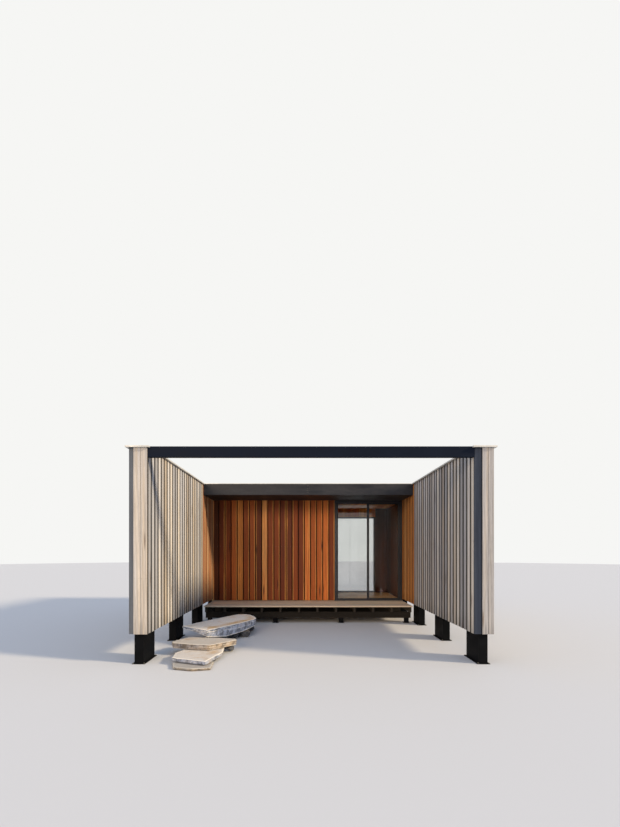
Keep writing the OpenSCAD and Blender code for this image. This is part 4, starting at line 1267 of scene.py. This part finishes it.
def rubble(piece, centre, size):
    """One angular stone, added to a joined piece."""
    shaper = bmesh.new()
    for _ in range(18):
        direction = Vector((dice.gauss(0, 1), dice.gauss(0, 1), dice.gauss(0, 1))).normalized()
        shaper.verts.new([c * (abs(c) ** -0.35) for c in direction])
    hull = bmesh.ops.convex_hull(shaper, input=shaper.verts)
    inner = [g for g in hull["geom_interior"] if isinstance(g, bmesh.types.BMVert)]
    bmesh.ops.delete(shaper, geom=inner, context="VERTS")
    bmesh.ops.bevel(shaper, geom=shaper.edges[:], offset=0.09, segments=1, affect="EDGES", clamp_overlap=True)
    bmesh.ops.triangulate(shaper, faces=shaper.faces)
    bmesh.ops.subdivide_edges(shaper, edges=shaper.edges, cuts=1, use_grid_fill=True)
    shaper.verts.index_update()
    first = len(piece["points"])
    shift = Vector((dice.random() * 20, 0, 0))
    for v in shaper.verts:
        rough = 1 - 0.10 * (0.5 + 0.5 * noise.noise(v.co * 2.4 + shift))
        x, y, z = (centre[k] + v.co[k] * size[k] * rough for k in range(3))
        piece["points"].append((x, y, max(0.0, z)))
        piece["board"].append((*PLAIN_LOOK, 0.0))
    piece["faces"] += [tuple(first + v.index for v in f.verts) for f in shaper.faces]
    piece["finish"] += [0] * len(shaper.faces)
    shaper.free()


def inside(x, y, outline):
    odd = False
    for (x0, y0), (x1, y1) in zip(outline, outline[1:] + outline[:1]):
        if (y0 > y) != (y1 > y) and x < (x1 - x0) * (y - y0) / (y1 - y0) + x0:
            odd = not odd
    return odd


def foot_outline(node):
    """The outline of a step's packing where it meets the ground, corner by corner."""
    corners = {(round(v.co.x, 4), round(v.co.y, 4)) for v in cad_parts[node].data.vertices if v.co.z < 0.001}
    middle = Vector((sum(x for x, y in corners), sum(y for x, y in corners))) / len(corners)
    return sorted(corners, key=lambda c: math.atan2(c[1] - middle.y, c[0] - middle.x))


dice = random.Random(71)
packing = start_piece()
for number in (1, 2, 3):
    outline = foot_outline(f"stone_step_{number}")
    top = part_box(f"stone_step_{number}")[1].z
    xs, ys = zip(*outline)
    y = min(ys)
    while y < max(ys):
        x = min(xs)
        while x < max(xs):
            at = (x + dice.uniform(-0.03, 0.03), y + dice.uniform(-0.03, 0.03))
            if inside(*at, outline):
                height = top - (top - undersides[number]) * thickness_share(number, at[0]) + 0.012
                size = (dice.uniform(0.085, 0.12), dice.uniform(0.08, 0.11), height / 2 * dice.uniform(0.92, 1.0))
                rubble(packing, (*at, size[2]), size)
            x += RUBBLE_SPACING
        y += RUBBLE_SPACING
finish_piece(packing, "packing_stones", [packing_stone_painted_shade], "sandstone")

# %% [markdown]
# ## The solids that stay
# The framing, the roof sheet, the flashing, the posts and the glass keep their CAD shapes. Each only
# swaps its plain colour for a real finish.

# %% Finishes for the solids
joist_timber = sawn_boards("dark_treated_joists", "y", "#4b443c #3d3731 #2f2a26", 0.85, "#1b1714", 0.8)
kept_finishes = {
    "wing_core_left": near_black_framing_painted_shade, "wing_core_right": near_black_framing_painted_shade, "floor_bearers": near_black_framing_painted_shade,
    "floor_joists": joist_timber, "wing_posts": post_paint, "floor_stumps": post_paint,
    "roof_frame": sawn_framing, "front_wall": sawn_framing, "rear_wall": sawn_framing,
    "roof_sheet": roof_paint, "roof_edge_flashing": galvanised_sheet,
    "fixed_glass": clear_glass, "sliding_glass": clear_glass, "rear_window_glass": clear_glass,
}
for node, finish in kept_finishes.items():
    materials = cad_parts[node].data.materials
    for i in range(len(materials)):
        materials[i] = finish
left_plain = [n for n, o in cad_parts.items() if not o.hide_render and n not in kept_finishes]
print("solids with their own finish:", len(kept_finishes), "left plain:", left_plain)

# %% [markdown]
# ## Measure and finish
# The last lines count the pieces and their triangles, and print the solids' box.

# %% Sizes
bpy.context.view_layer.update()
triangles = {o.name: sum(len(p.vertices) - 2 for p in o.data.polygons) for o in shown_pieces() if o.type == "MESH"}
print("pieces:", len(triangles), "triangles:", sum(triangles.values()), "most:", max(triangles, key=triangles.get))
print("solids box:", [round(v, 4) for v in (*cad_low, *cad_high)])
